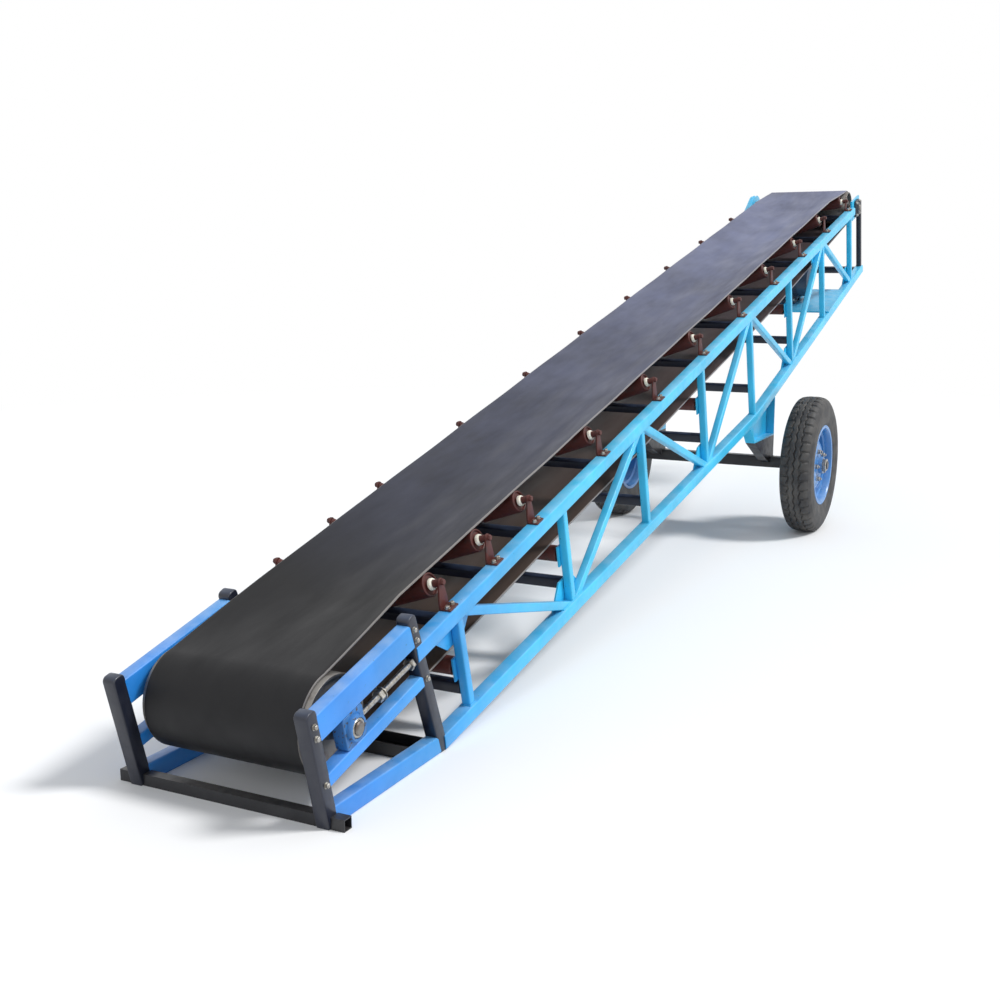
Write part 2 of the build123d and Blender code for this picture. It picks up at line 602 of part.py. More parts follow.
def belt_section(s, level, angle):
    """Belt cross-section square to the run at s: a flat middle with both wings raised by angle."""
    c, d = math.cos(math.radians(angle)), math.sin(math.radians(angle))
    mitre = math.tan(math.radians(angle / 2)) * BELT_THICKNESS
    edge_y, edge_n = fold_y + wing_length * c, level + wing_length * d
    right = [(fold_y, level), (edge_y, edge_n), (edge_y - BELT_THICKNESS * d, edge_n + BELT_THICKNESS * c),
             (fold_y - mitre, level + BELT_THICKNESS)]
    left = [(-a, b) for a, b in right[::-1]]
    plane = Plane(origin=(s, 0, 0), x_dir=(0, 1, 0), z_dir=(1, 0, 0))
    return make_face(plane * Polyline(*(right + left), close=True))


def on_drum(s, n, radius, angle):
    """Point (s, n) of a drum's rim at an angle from the +s side."""
    return (s + radius * math.cos(math.radians(angle)), n + radius * math.sin(math.radians(angle)))


def wrap(s, n, radius, from_angle, to_angle):
    """Belt about a drum, from one angle to another, counted from the +s side towards +n."""
    mid = (from_angle + to_angle) / 2
    inner = [on_drum(s, n, radius, a) for a in (from_angle, mid, to_angle)]
    outer = [on_drum(s, n, radius + BELT_THICKNESS, a) for a in (to_angle, mid, from_angle)]
    plane = Plane(origin=(0, -half_belt, 0), x_dir=(1, 0, 0), z_dir=(0, -1, 0))
    edges = ThreePointArc(*inner) + Line(inner[2], outer[0])
    edges += ThreePointArc(*outer) + Line(outer[2], inner[0])
    return extrude(make_face(plane * edges), amount=BELT_WIDTH, dir=(0, 1, 0))


def tangent_angle(s, n, radius, point, turn):
    """Angle on a drum where the straight run to point leaves it, turn +1 or -1 for the side taken."""
    reach = math.hypot(point[0] - s, point[1] - n)
    bearing = math.atan2(point[1] - n, point[0] - s)
    return math.degrees(bearing + turn * math.acos(radius / reach))


trough_start = belt_section(trough_start_s, BELT_CENTRE_N, TROUGH_ANGLE)
trough_end = belt_section(trough_end_s, BELT_CENTRE_N, TROUGH_ANGLE)
last_return = (panel_stations[RETURN_PANELS[-1]], return_level)
tail_leave = tangent_angle(TAIL_DRUM_S, TAIL_DRUM_N, tail_r, (trough_start_s, BELT_CENTRE_N), 1)
head_meet = tangent_angle(head_drum_s, HEAD_DRUM_N, head_r, (trough_end_s, BELT_CENTRE_N), -1)
head_leave = tangent_angle(head_drum_s, HEAD_DRUM_N, head_r, last_return, 1)
tail_top = on_drum(TAIL_DRUM_S, TAIL_DRUM_N, tail_r, tail_leave)
head_top = on_drum(head_drum_s, HEAD_DRUM_N, head_r, head_meet)
head_low = on_drum(head_drum_s, HEAD_DRUM_N, head_r, head_leave)
head_low_outer = on_drum(head_drum_s, HEAD_DRUM_N, head_r + BELT_THICKNESS, head_leave)
trough = loft([trough_start, trough_end], ruled=True)
tail_ramp = loft([belt_section(*tail_top, 0), trough_start], ruled=True)
head_ramp = loft([trough_end, belt_section(*head_top, 0)], ruled=True)
tail_wrap = wrap(TAIL_DRUM_S, TAIL_DRUM_N, tail_r, tail_leave, 270)
head_wrap = wrap(head_drum_s, HEAD_DRUM_N, head_r, head_meet, head_leave)
return_line = [(TAIL_DRUM_S, return_level), (TAIL_DRUM_S, return_level - BELT_THICKNESS),
               (last_return[0], return_level - BELT_THICKNESS), head_low_outer, head_low, last_return]
return_run = slab(return_line, -half_belt, half_belt)
parts["belt"] = trough + tail_ramp + head_ramp + tail_wrap + head_wrap + return_run

# Drive: plate across the bottom chords, with the gearbox and the motor on it
motor_s = panel_stations[DRIVE_PANEL] + MOTOR_LEAD
chord_tilt = math.degrees(math.atan2(HEAD_DEPTH - KNUCKLE_DEPTH, truss_end_s - knuckle[0]))
drive_frame = Pos(motor_s, 0, bottom_n(motor_s)) * Rot(0, chord_tilt, 0)
plate_top = chord_half + BASE_PLATE_THICKNESS
base_plate = Box(BASE_PLATE_LENGTH, 2 * half_truss + CHORD_SIZE, BASE_PLATE_THICKNESS)
parts["motor_plate"] = drive_frame * Pos(0, 0, plate_top - BASE_PLATE_THICKNESS / 2) * base_plate
gear_l, gear_w, gear_h = GEARBOX_SIZE
foot_l, foot_w, foot_h = MOTOR_FOOT
motor_y = GEARBOX_Y - (gear_w + MOTOR_LENGTH) / 2
motor_n = plate_top + foot_h + MOTOR_R
pad_l, pad_h = GEARBOX_FOOT
output_n = plate_top + OUTPUT_AXIS_HEIGHT
gear_outer = GEARBOX_Y + gear_w / 2
boss_end = gear_outer + OUTPUT_BOSS_LENGTH
gearbox = Pos(0, GEARBOX_Y, plate_top + gear_h / 2) * Box(gear_l, gear_w, gear_h)
gearbox += Pos(0, GEARBOX_Y, plate_top + pad_h / 2) * Box(pad_l, gear_w, pad_h)
gearbox += Pos(0, GEARBOX_Y, output_n) * Box(gear_l + 2 * GEARBOX_RIB, gear_w, GEARBOX_RIB)
gearbox += many_sided(OUTPUT_BOSS_R, GUARD_SIDES, gear_outer, boss_end, 0, output_n)
parts["gearbox"] = drive_frame * gearbox
motor_near = motor_y - MOTOR_LENGTH / 2
motor = many_sided(MOTOR_R, MOTOR_SIDES, motor_near, motor_y + MOTOR_LENGTH / 2, 0, motor_n)
motor += many_sided(COWL_R, MOTOR_SIDES, motor_near - COWL_LENGTH, motor_near, 0, motor_n)
motor += Pos(0, motor_y, plate_top + foot_h / 2) * Box(foot_l, foot_w, foot_h)
motor += Pos(0, motor_y, plate_top + foot_h) * Box(foot_l / 2, foot_w, 2 * foot_h)
box_l, box_w, box_h = TERMINAL_BOX
motor += Pos(0, motor_y, motor_n + MOTOR_R + box_h / 2) * Box(box_l, box_w, 2 * box_h)
parts["motor"] = drive_frame * motor

# Drive to the head drum: output shaft out through the left web, chain guard up to the drum's shaft
output = drive_frame * Pos(0, 0, output_n)
output_s, output_level = output.position.X, output.position.Z
parts["output_shaft"] = across(SHAFT_R, boss_end, driven_half, output_s, output_level)
guard_run = (head_drum_s - output_s, HEAD_DRUM_N - output_level)
guard_length = math.hypot(*guard_run)
guard_tilt = math.degrees(math.atan2(guard_run[1], guard_run[0]))
lean = math.degrees(math.asin((GUARD_HIGH_R - GUARD_LOW_R) / guard_length))
guard_ends = (
    # shaft's s and n, radius of the guard round it
    (output_s, output_level, GUARD_LOW_R),
    (head_drum_s, HEAD_DRUM_N, GUARD_HIGH_R),
)
flank = []
for side_angle in (90 + lean, -90 - lean):
    points = [(s + r * math.cos(math.radians(guard_tilt + side_angle)),
               n + r * math.sin(math.radians(guard_tilt + side_angle))) for s, n, r in guard_ends]
    flank += points if side_angle < 0 else points[::-1]
guard_outer = guard_inner + GUARD_WIDTH
guard = slab(flank, guard_inner, guard_outer)
for s, n, r in guard_ends:
    guard += many_sided(r, GUARD_SIDES, guard_inner, guard_outer, s, n)
for s, n, r in guard_ends:
    guard -= across(SHAFT_R + SHAFT_FIT, guard_inner - CUT_MARGIN, driven_half, s, n)
diagonal_s = panel_stations[DRIVE_PANEL]
diagonal_slope = bottom_n(diagonal_s + PANEL_LENGTH) / PANEL_LENGTH
guard_slope = guard_run[1] / guard_run[0]
crossing_s = (output_level - guard_slope * output_s + diagonal_slope * diagonal_s) / (
    diagonal_slope - guard_slope)
stay_table = (
    # s, n, and the y of the face that carries the stay: on the last diagonal, and on the top chord
    (crossing_s, diagonal_slope * (crossing_s - diagonal_s), half_truss + WEB_SIZE / 2),
    (head_plate_rear_s - GUARD_STAY, 0.0, half_truss + chord_half),
)
stays = []
for s, n, carrier_y in stay_table:
    stay = Box(GUARD_STAY, guard_inner - carrier_y, GUARD_STAY)
    stays.append(Pos(s, (guard_inner + carrier_y) / 2, n) * stay)
parts["chain_guard"] = [guard] + stays

# Hanger plate with two holes under each top chord, on the web beside the drive
hanger_s = panel_stations[DRIVE_PANEL]
hole_s = HANGER_PLATE_LENGTH / 4
hanger_plates = []
for side, sign in sides:
    low = -chord_half - HANGER_PLATE_DEPTH
    tip = HANGER_PLATE_LENGTH / 2
    taper = HANGER_PLATE_DEPTH / 2
    outline = [(hanger_s - tip, -chord_half), (hanger_s + tip, -chord_half),
               (hanger_s + tip - taper, low), (hanger_s - tip + taper, low)]
    plate = slab(outline, sign * web_face, sign * (web_face - HANGER_PLATE_THICKNESS))
    for ds in (-hole_s, hole_s):
        plate -= many_sided(HANGER_PLATE_HOLE_R, HANGER_HOLE_SIDES, sign * inner_face - CHORD_SIZE,
                            sign * inner_face + CHORD_SIZE, hanger_s + ds,
                            -chord_half - HANGER_PLATE_DEPTH / 2)
    hanger_plates.append(plate)
parts["drive_hangers"] = hanger_plates

# Undercarriage in the level frame
axle_x = from_belt(*knuckle)[0] + AXLE_SETBACK
axle_z = WHEEL_D / 2
axle_half_size = AXLE_SIZE / 2
axle_top = axle_z + axle_half_size
hub_y = WHEEL_TRACK / 2
axle_half = hub_y - HUB_LENGTH / 2 - HUB_GAP


def chord_at(x):
    """Side view point (x, z) of the bottom chord's centre line above x."""
    s = to_belt(x, axle_z)[0]
    for step in range(CHORD_SEARCH_STEPS):
        px, pz = from_belt(s, bottom_n(s))
        s += (x - px) * cos_i
    return (x, pz)


for side, sign in sides:
    y = sign * half_truss
    outer_y = y + sign * chord_half
    chord_solid = level_from_belt * bar(bottom_line, CHORD_SIZE, y, CHORD_SIZE)
    # Leg: channel open to the outside, from the bottom chord down to the saddle
    outline = [(axle_x - LEG_FOOT_REAR, LEG_FOOT_Z), (axle_x + LEG_FRONT, LEG_FOOT_Z),
               chord_at(axle_x + LEG_FRONT), from_belt(*knuckle), chord_at(axle_x - LEG_TOP_REAR)]
    inside = [(axle_x - LEG_FOOT_REAR + LEG_PLATE, LEG_FOOT_Z + LEG_PLATE),
              (axle_x + LEG_FRONT - LEG_PLATE, LEG_FOOT_Z + LEG_PLATE),
              (axle_x + LEG_FRONT - LEG_PLATE, outline[2][1] + CHORD_SIZE),
              (axle_x - LEG_TOP_REAR + 2 * LEG_PLATE, outline[4][1] + CHORD_SIZE)]
    leg = slab(outline, y - chord_half, y + chord_half)
    leg -= slab(inside, outer_y + sign * LEG_PLATE, y - sign * (chord_half - LEG_PLATE))
    parts[f"leg_{side}"] = ("level", cut_by(leg, (chord_solid,)))
    # Saddle: tapered plate from the leg's foot round the axle
    rear, front = axle_x - axle_half_size, axle_x + axle_half_size
    saddle_outline = [(axle_x - LEG_FOOT_REAR, LEG_FOOT_Z), (rear - SADDLE_REAR, axle_top),
                      (rear - LEG_PLATE, axle_z), (rear, axle_z), (rear, axle_top), (front, axle_top),
                      (front, axle_z), (front + LEG_PLATE, axle_z), (axle_x + LEG_FRONT, axle_top),
                      (axle_x + LEG_FRONT, LEG_FOOT_Z)]
    groups["axle_saddles"].append(slab(saddle_outline, y - chord_half, y + chord_half))

# Wheels: tyre on a rim with a disc, whose hub runs on the spindle
for side, sign in sides:
    place = Pos(axle_x, sign * hub_y, axle_z)
    stations = [(-a, r) for a, r in TYRE_STATIONS] + [(a, r) for a, r in TYRE_STATIONS[::-1]]
    tyre = turned(stations, WHEEL_SIDES)
    parts[f"tyre_{side}"] = ("level", place * tyre)
    half_rim = RIM_WIDTH / 2
    well = RIM_R - RIM_WALL
    rim_section = [(-half_rim, RIM_R), (half_rim, RIM_R), (half_rim, well), (-half_rim, well)]
    disc_section = [(sign * y, r) for y, r in (
        (DISC_RIM_Y, well + RIM_WALL / 2), (DISC_HUB_Y, HUB_R - DISC_WALL),
        (DISC_HUB_Y - DISC_WALL, HUB_R - DISC_WALL), (DISC_RIM_Y - DISC_WALL, well + RIM_WALL / 2))]
    disc = turned(disc_section, WHEEL_SIDES)
    for i in range(HAND_HOLES):
        turn = 2 * math.pi * i / HAND_HOLES
        x, z = HAND_HOLE_PITCH_R * math.cos(turn), HAND_HOLE_PITCH_R * math.sin(turn)
        disc -= many_sided(HAND_HOLE_R, HAND_HOLE_SIDES, -RIM_WIDTH, RIM_WIDTH, x, z)
    rim = turned(rim_section, WHEEL_SIDES) + disc
    rim += many_sided(HUB_R, HUB_SIDES, -HUB_LENGTH / 2, HUB_LENGTH / 2)
    rim -= across(SPINDLE_R + SHAFT_FIT, -HUB_LENGTH, HUB_LENGTH)
    parts[f"rim_{side}"] = ("level", place * rim)

spindle_start = hub_y + HUB_LENGTH / 2 + SPINDLE_NUT_GAP
spindle_half = spindle_start + SPINDLE_NUT_LENGTH
axle = Pos(axle_x, 0, axle_z) * Box(AXLE_SIZE, 2 * axle_half, AXLE_SIZE)
axle += across(SPINDLE_R, -spindle_half, spindle_half, axle_x, axle_z)
parts["axle"] = ("level", axle)
nuts = []
for side, sign in sides:
    nut = many_sided(SPINDLE_NUT_ACROSS / 2, 6, sign * spindle_start, sign * spindle_half, axle_x, axle_z)
    nuts.append(nut - across(SPINDLE_R + SHAFT_FIT, -2 * hub_y, 2 * hub_y, axle_x, axle_z))
parts["spindle_nuts"] = ("level", nuts)

# Placing: everything stands in the level frame, with the origin below the middle of its box
for name, pieces in groups.items():
    parts[name] = ("level", pieces) if name == "axle_saddles" else pieces
placed = {}
for name, piece in parts.items():
    level = isinstance(piece, tuple)
    if level:
        piece = piece[1]
    solids = [solid for item in (piece if isinstance(piece, list) else [piece]) for solid in item.solids()]
    placed[name] = solids if level else [level_from_belt * solid for solid in solids]
whole = Compound(children=[solid.moved(Location()) for solids in placed.values() for solid in solids])
box = whole.bounding_box()
shift = Pos(-(box.min.X + box.max.X) / 2, 0, -box.min.Z)
for name, solids in placed.items():
    moved = [shift * solid for solid in solids]
    export_step(moved[0] if len(moved) == 1 else Compound(children=moved), f"parts/{name}.step")
print("shift", -(box.min.X + box.max.X) / 2, -box.min.Z, "size", box.size)
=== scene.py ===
"""Portable belt conveyor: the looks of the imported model, laid out as a Blender add-on and run as a script."""
import json
import math

import bpy
import numpy as np
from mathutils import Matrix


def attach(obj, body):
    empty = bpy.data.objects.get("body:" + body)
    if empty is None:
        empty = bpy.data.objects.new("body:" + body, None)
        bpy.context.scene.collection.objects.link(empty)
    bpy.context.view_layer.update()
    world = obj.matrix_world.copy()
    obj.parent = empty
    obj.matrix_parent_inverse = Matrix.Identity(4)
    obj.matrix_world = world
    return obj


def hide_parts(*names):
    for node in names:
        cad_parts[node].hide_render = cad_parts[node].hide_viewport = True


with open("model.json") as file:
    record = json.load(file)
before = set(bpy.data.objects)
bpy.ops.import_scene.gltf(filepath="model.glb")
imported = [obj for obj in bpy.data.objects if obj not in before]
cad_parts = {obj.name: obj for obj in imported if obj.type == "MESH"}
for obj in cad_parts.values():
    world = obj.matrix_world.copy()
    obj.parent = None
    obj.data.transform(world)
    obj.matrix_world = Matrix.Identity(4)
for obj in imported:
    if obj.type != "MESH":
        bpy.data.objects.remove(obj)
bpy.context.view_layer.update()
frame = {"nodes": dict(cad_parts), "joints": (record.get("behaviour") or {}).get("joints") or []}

bl_info = {
    "name": "Portable belt conveyor",
    "version": (1, 0, 0),
    "blender": (4, 5, 0),
    "location": "3D View > Sidebar > Conveyor",
    "description": "Dresses the packed belt conveyor: belt, rollers, frame, wheels, drive and stage",
    "category": "Object",
}

# Sizes in millimetres, in belt coordinates (s up the incline, y to the left, n square to the belt)
# unless a name says otherwise. Their origin is on the top chords' centre line above the tail.
MM = 0.001
SIDES = (("right", -1.0), ("left", 1.0))
SIGNS = (-1.0, 1.0)
FULL_TURN = 2 * math.pi
ACROSS, ALONG, UP = (0, 1, 0), (1, 0, 0), (0, 0, 1)
INCLINE = math.radians(14.2)
COS_I, SIN_I = math.cos(INCLINE), math.sin(INCLINE)
CHORD_LINE_HEIGHT = 272.0
RUNNING_GAP = 0.3

# Belt and drums
HALF_BELT = 260.0
BELT_THICKNESS = 8.0
TROUGH_ANGLE = math.radians(20.0)
FOLD_Y = 90.0
BELT_CENTRE_N = 75.0
TROUGH_START_S, TROUGH_END_S = 380.0, 5900.0
TAIL_DRUM = (-48.0, -24.0, 138.0)
HEAD_DRUM = (6345.0, 0.0, 108.0)
DRUM_HALF_FACE = 275.0
SHAFT_R = 20.0
SHAFT_HALF, DRIVEN_SHAFT_HALF = 356.0, 388.0

# Truss
HALF_TRUSS = 318.0
INNER_FACE = 293.0
CHORD = 50.0
WEB = 32.0
WEB_FACE = 302.0
WEB_CORNER = 5.0
CROSS_DEPTH = 40.0
PANELS = 557.0 + 800.0 * np.arange(8)
KNUCKLE = (PANELS[4], -565.0)
TRUSS_END_S, HEAD_DEPTH = 6487.0, 455.0
TIP_S = 6471.0
HEAD_PLATE_REAR_S = 6235.0
HEAD_PLATE = 6.0

# Tail frame
POST = 44.0
FRONT_POST_TOP = (-212.0, 127.0)
SECOND_POST_TOP = (290.0, 127.0)
SECOND_POST_FOOT_X = 432.0
RAIL_WIDTH = 43.4
UPPER_RAIL_N, UPPER_RAIL_DEPTH = 66.0, 80.0
LOWER_RAIL_N, LOWER_RAIL_DEPTH, LOWER_RAIL_END_S = -94.0, 40.0, 318.0
SKID_DEPTH = 56.0
SCREW_R, SCREW_NUT_R = 9.0, 17.0 / math.cos(math.pi / 6)

# Idlers
CARRY_PITCH, RETURN_PITCH = 624.0, 1600.0
IDLERS = np.array([528.0, 840.0] + [1152.0 + CARRY_PITCH * i for i in range(9)])
IDLER_BAR_N, IDLER_BAR = -23.0, (30.0, 40.0)
ROLLER_R, ROLLER_LENGTH, ROLLER_START, STUB_R = 38.0, 165.0, 8.0, 12.0
OUTER_BRACKET_Y, BRACKET_PLATE, BRACKET_FOOT_Y, BRACKET_BOLT_Y = 296.5, 6.0, 337.0, 321.0
RETURN_R, RETURN_HALF, RETURN_AXIS_N = 30.0, 287.0, -200.6
RETURN_PANELS = (0, 1, 3, 5)

# Wheels, in level coordinates
AXLE_X, AXLE_Z, HALF_TRACK = 4100.8, 370.0, 558.0
WHEEL_R = 370.0
HUB_HALF = 75.0
AXLE_DEPTH, SPINDLE_R, SPINDLE_HALF = 60.0, 22.5, 658.0
DISC_INNER_R, DISC_OUTER_R = 60.0, 184.0
DISC_FLAT_R, HOLES, HOLE_R, HOLE_CIRCLE_R = 92.0, 6, 22.0, 140.0
DISH_Y, DISH_DEPTH = 46.0, 34.0
STUDS, STUD_CIRCLE_R, NUT_SEAT_Y = 5, 78.0, 49.5
VALVE_R, VALVE_Y = 176.0, 14.0

# Drive, square to the bottom chord from the chord's centre line
DRIVE_S = PANELS[6] + 305.0
DRIVE_TILT = math.atan2(-HEAD_DEPTH - KNUCKLE[1], TRUSS_END_S - KNUCKLE[0])
PLATE_TOP = 35.0
GEARBOX_Y, GEARBOX_TOP = 150.0, PLATE_TOP + 300.0
MOTOR_Y, MOTOR_N, MOTOR_R, MOTOR_HALF = -20.0, 160.0, 105.0, 95.0
OUTPUT_N = PLATE_TOP + 200.0
GUARD_INNER, GUARD_OUTER = 364.0, 408.0
GUARD_LOW_R, GUARD_HIGH_R = 74.0, 98.0
OFFSET_X = 1000 * frame["joints"][0]["pos_m"][0] - AXLE_X

# Metres along the machine between which the enamel's painted shade at the tail gives way to its own blue, and
# the belt gets dusty
TAIL_SHADE_FROM_X, TAIL_SHADE_TO_X = -3.1, -1.7
DUST_FROM_X, DUST_TO_X = -2.7, 2.9

# Camera, in metres and degrees
CAMERA_PLACE = (-2.6521, -2.1153, 1.4414)
CAMERA_TURN = (79.2435, 0.0, -63.8511)
CAMERA_LENS, CAMERA_SHIFT = 44.70, (-0.02265, 0.00159)


def linear(code):
    """Linear RGB of an sRGB hex value: each channel below 0.04045 is divided by 12.92, the rest follow
    the 2.4 power curve."""
    channels = np.array([int(code[i:i + 2], 16) for i in (1, 3, 5)]) / 255
    curve = np.where(channels <= 0.04045, channels / 12.92, ((channels + 0.055) / 1.055) ** 2.4)
    return tuple(float(c) for c in curve)


class ConveyorSizes(bpy.types.PropertyGroup):
    """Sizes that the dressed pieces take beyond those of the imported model."""
    belt_sag: bpy.props.FloatProperty(name="Belt sag", default=0.002, unit="LENGTH",
                                      description="How far the belt hangs between two carrying sets")
    tube_corner: bpy.props.FloatProperty(name="Tube corner", default=0.006, unit="LENGTH",
                                         description="Outside corner radius of the frame's square tubes")
    weld_radius: bpy.props.FloatProperty(name="Weld", default=0.004, unit="LENGTH",
                                         description="Radius of the fillet weld beads")
    tread_depth: bpy.props.FloatProperty(name="Tread depth", default=0.007, unit="LENGTH",
                                         description="Depth of the tyre's tread grooves")
    tread_blocks: bpy.props.IntProperty(name="Tread blocks", default=44,
                                        description="Tread blocks round one tyre")
    screw_pitch: bpy.props.FloatProperty(name="Screw pitch", default=0.004, unit="LENGTH",
                                         description="Pitch of the take-up screws' thread")
    motor_fins: bpy.props.IntProperty(name="Motor fins", default=40,
                                      description="Cooling fins round the motor's body")


class ConveyorColours(bpy.types.PropertyGroup):
    """Colours of the finishes."""
    # frame_deep is painted shade: the deeper blue that the frame's enamel turns to towards the tail
    frame_blue: bpy.props.FloatVectorProperty(name="Frame", subtype="COLOR", default=linear("#31bdea"),
                                              description="Sky-blue enamel of the frame, as sun-faded")
    frame_deep: bpy.props.FloatVectorProperty(name="Frame, tail", subtype="COLOR", default=linear("#2a88df"),
                                              description="The same enamel towards the tail, less faded")
    # The navy is partly the posts' and cross bars' own darker enamel and partly painted shade
    post_navy: bpy.props.FloatVectorProperty(name="Posts", subtype="COLOR", default=linear("#161b2b"),
                                             description="Navy enamel of the posts and cross bars")
    belt: bpy.props.FloatVectorProperty(name="Belt", subtype="COLOR", default=linear("#0e0e11"),
                                        description="Rubber of the belt")
    belt_dust: bpy.props.FloatVectorProperty(name="Belt dust", subtype="COLOR", default=linear("#747a98"),
                                             description="Dust ground into the belt towards the head")
    tyre: bpy.props.FloatVectorProperty(name="Tyre", subtype="COLOR", default=linear("#2c2c2e"),
                                        description="Rubber of the tyres")
    rim: bpy.props.FloatVectorProperty(name="Rim", subtype="COLOR", default=linear("#3c7fc0"),
                                       description="Enamel of the wheel rims")
    # The idlers' red is darkened, partly as painted shade for the shade under the belt
    roller: bpy.props.FloatVectorProperty(name="Rollers", subtype="COLOR", default=linear("#55241e"),
                                          description="Red oxide paint of the idlers")
    seal: bpy.props.FloatVectorProperty(name="Seals", subtype="COLOR", default=linear("#ece6d6"),
                                        description="Cream plastic of the roller seals")
    drive: bpy.props.FloatVectorProperty(name="Drive", subtype="COLOR", default=linear("#3a4c5e"),
                                         description="Slate enamel of the motor and the gearbox")
    axle: bpy.props.FloatVectorProperty(name="Axle", subtype="COLOR", default=linear("#1c1c20"),
                                        description="Black paint of the axle")
    casting: bpy.props.FloatVectorProperty(name="Castings", subtype="COLOR", default=linear("#2f6fae"),
                                           description="Paint of the take-up blocks")


def belt_place(points):
    """Metres in the row frame from (s, y, n): x = s cos i - n sin i, z = s sin i + n cos i, where i is
    the incline, moved to the chord line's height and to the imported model's place."""
    s, y, n = np.moveaxis(np.asarray(points, float), -1, 0)
    x = s * COS_I - n * SIN_I + OFFSET_X
    return np.stack([x, y, CHORD_LINE_HEIGHT + s * SIN_I + n * COS_I], -1) * MM


def level_place(points):
    """Metres in the row frame from level (x, y, z) with x counted from the tail."""
    return (np.asarray(points, float) + (OFFSET_X, 0, 0)) * MM


def drive_place(points):
    """Metres in the row frame from (a, y, b) of the drive: a along the bottom chord from the motor's
    middle, b square to it from the chord's centre line."""
    a, y, b = np.moveaxis(np.asarray(points, float), -1, 0)
    s = DRIVE_S + a * math.cos(DRIVE_TILT) - b * math.sin(DRIVE_TILT)
    n = bottom_n(DRIVE_S) + a * math.sin(DRIVE_TILT) + b * math.cos(DRIVE_TILT)
    return belt_place(np.stack([s, y, n], -1))


def to_belt(x, z):
    """(s, n) of a level side view point (x, z), the reverse of belt_place."""
    rise = z - CHORD_LINE_HEIGHT
    return (x * COS_I + rise * SIN_I, -x * SIN_I + rise * COS_I)


FOOT = to_belt(SECOND_POST_FOOT_X, CHORD / 2)
BOTTOM_LINE = (FOOT, KNUCKLE, (TRUSS_END_S, -HEAD_DEPTH))


def bottom_n(s):
    """Level of the bottom chord's centre line at s, straight between its three corners."""
    return float(np.interp(s, [p[0] for p in BOTTOM_LINE], [p[1] for p in BOTTOM_LINE]))


def surface(points, path_closed=False):
    """Quads between neighbouring rings of a grid of points (station, ring, 3), whose rings are closed.
    The end rings get a flat cap, or the last joins the first. The volume inside, the sum of
    a . (b x c) / 6 over its triangles, tells whether the faces look out, and they turn if they don't."""
    rows, cols = points.shape[:2]
    index = np.arange(rows * cols).reshape(rows, cols)
    index = np.hstack([index, index[:, :1]])
    if path_closed:
        index = np.vstack([index, index[:1]])
    quads = np.stack([index[:-1, :-1], index[:-1, 1:], index[1:, 1:], index[1:, :-1]], -1).reshape(-1, 4)
    caps = [] if path_closed else [index[0, :-1][::-1], index[-1, :-1]]
    flat = points.reshape(-1, 3)
    triangles = [quads[:, [0, 1, 2]], quads[:, [0, 2, 3]]]
    for cap in caps:
        rest = np.stack([cap[1:-1], cap[2:]], -1)
        triangles.append(np.hstack([np.full((len(rest), 1), cap[0]), rest]))
    a, b, c = (flat[np.vstack(triangles)[:, i]] - flat[0] for i in range(3))
    if np.einsum("ij,ij->", a, np.cross(b, c)) < 0:
        quads = quads[:, ::-1]
        caps = [cap[::-1] for cap in caps]
    return (flat, quads, caps)


def carried(outline, origins, first, second, inner=None):
    """Outline (k, 2) carried along a path: point = origin + u first + v second at each station. With an
    inner outline it is a tube, open at both ends, whose rings run out along it and back inside."""
    origins, first, second = (np.asarray(v, float)[:, None, :] for v in (origins, first, second))

    def rings(shape):
        return origins + shape[None, :, 0, None] * first + shape[None, :, 1, None] * second
    if inner is None:
        return surface(rings(outline))
    return surface(np.concatenate([rings(outline), rings(inner)[::-1]]), path_closed=True)


def rounded(depth, width, corner, steps=3):
    """Rectangle with quarter circles at its corners: centre of the corner + corner (cos t, sin t)."""
    quarter = np.arange(4)[:, None]
    turn = (quarter + np.linspace(0, 1, steps + 1)) * math.pi / 2
    across = np.where(np.isin(quarter, (0, 3)), 1, -1) * (depth / 2 - corner)
    along = np.where(quarter < 2, 1, -1) * (width / 2 - corner)
    return np.stack([across + corner * np.cos(turn), along + corner * np.sin(turn)], -1).reshape(-1, 2)


def tube(origins, first, second, depth, width, corner, wall):
    """Rectangular tube along a path, hollow if it has a wall."""
    inner = rounded(depth - 2 * wall, width - 2 * wall, max(corner - wall, 1)) if wall else None
    return carried(rounded(depth, width, corner), origins, first, second, inner)


def run(path, y_mid, depth, width, corner, wall=0.0):
    """Rectangular tube along side view points, mitred at its bends: the depth axis is the bisector of the
    two normals, lengthened by one over its cosine with either."""
    path = np.asarray(path, float)
    unit = np.diff(path, axis=0)
    unit = unit / np.linalg.norm(unit, axis=1)[:, None]
    before, after = np.vstack([unit[:1], unit]), np.vstack([unit, unit[-1:]])
    square = np.stack([-before[:, 1], before[:, 0]], -1)
    bisector = square + np.stack([-after[:, 1], after[:, 0]], -1)
    bisector = bisector / np.sum(bisector * square, axis=1)[:, None]
    zero = np.zeros(len(path))
    origins = np.stack([path[:, 0], zero + y_mid, path[:, 1]], -1)
    first = np.stack([bisector[:, 0], zero, bisector[:, 1]], -1)
    second = np.stack([zero, zero + 1, zero], -1)
    return tube(origins, first, second, depth, width, corner, wall)


def cross_run(s, n, half, depth, width, corner, wall=0.0):
    """Rectangular tube across the machine at (s, n)."""
    return tube([(s, -half, n), (s, half, n)], [UP] * 2, [ALONG] * 2, depth, width, corner, wall)


def lathe(profile, origin, axis=ACROSS, steps=32, closed=False):
    """Profile of (height, radius) turned about an axis: origin + h axis + r (cos t u + sin t v), where u
    and v are square to the axis. A closed profile gives a ring, an open one gets flat ends."""
    axis = np.asarray(axis, float) / np.linalg.norm(axis)
    other = ALONG if abs(axis[0]) < 0.9 else ACROSS
    v = np.cross(axis, other)
    v /= np.linalg.norm(v)
    u = np.cross(v, axis)
    turn = FULL_TURN * np.arange(steps) / steps
    h, r = np.asarray(profile, float).T
    ring = np.cos(turn)[:, None] * u + np.sin(turn)[:, None] * v
    points = np.asarray(origin, float) + h[:, None, None] * axis + r[:, None, None] * ring
    return surface(points, path_closed=closed)


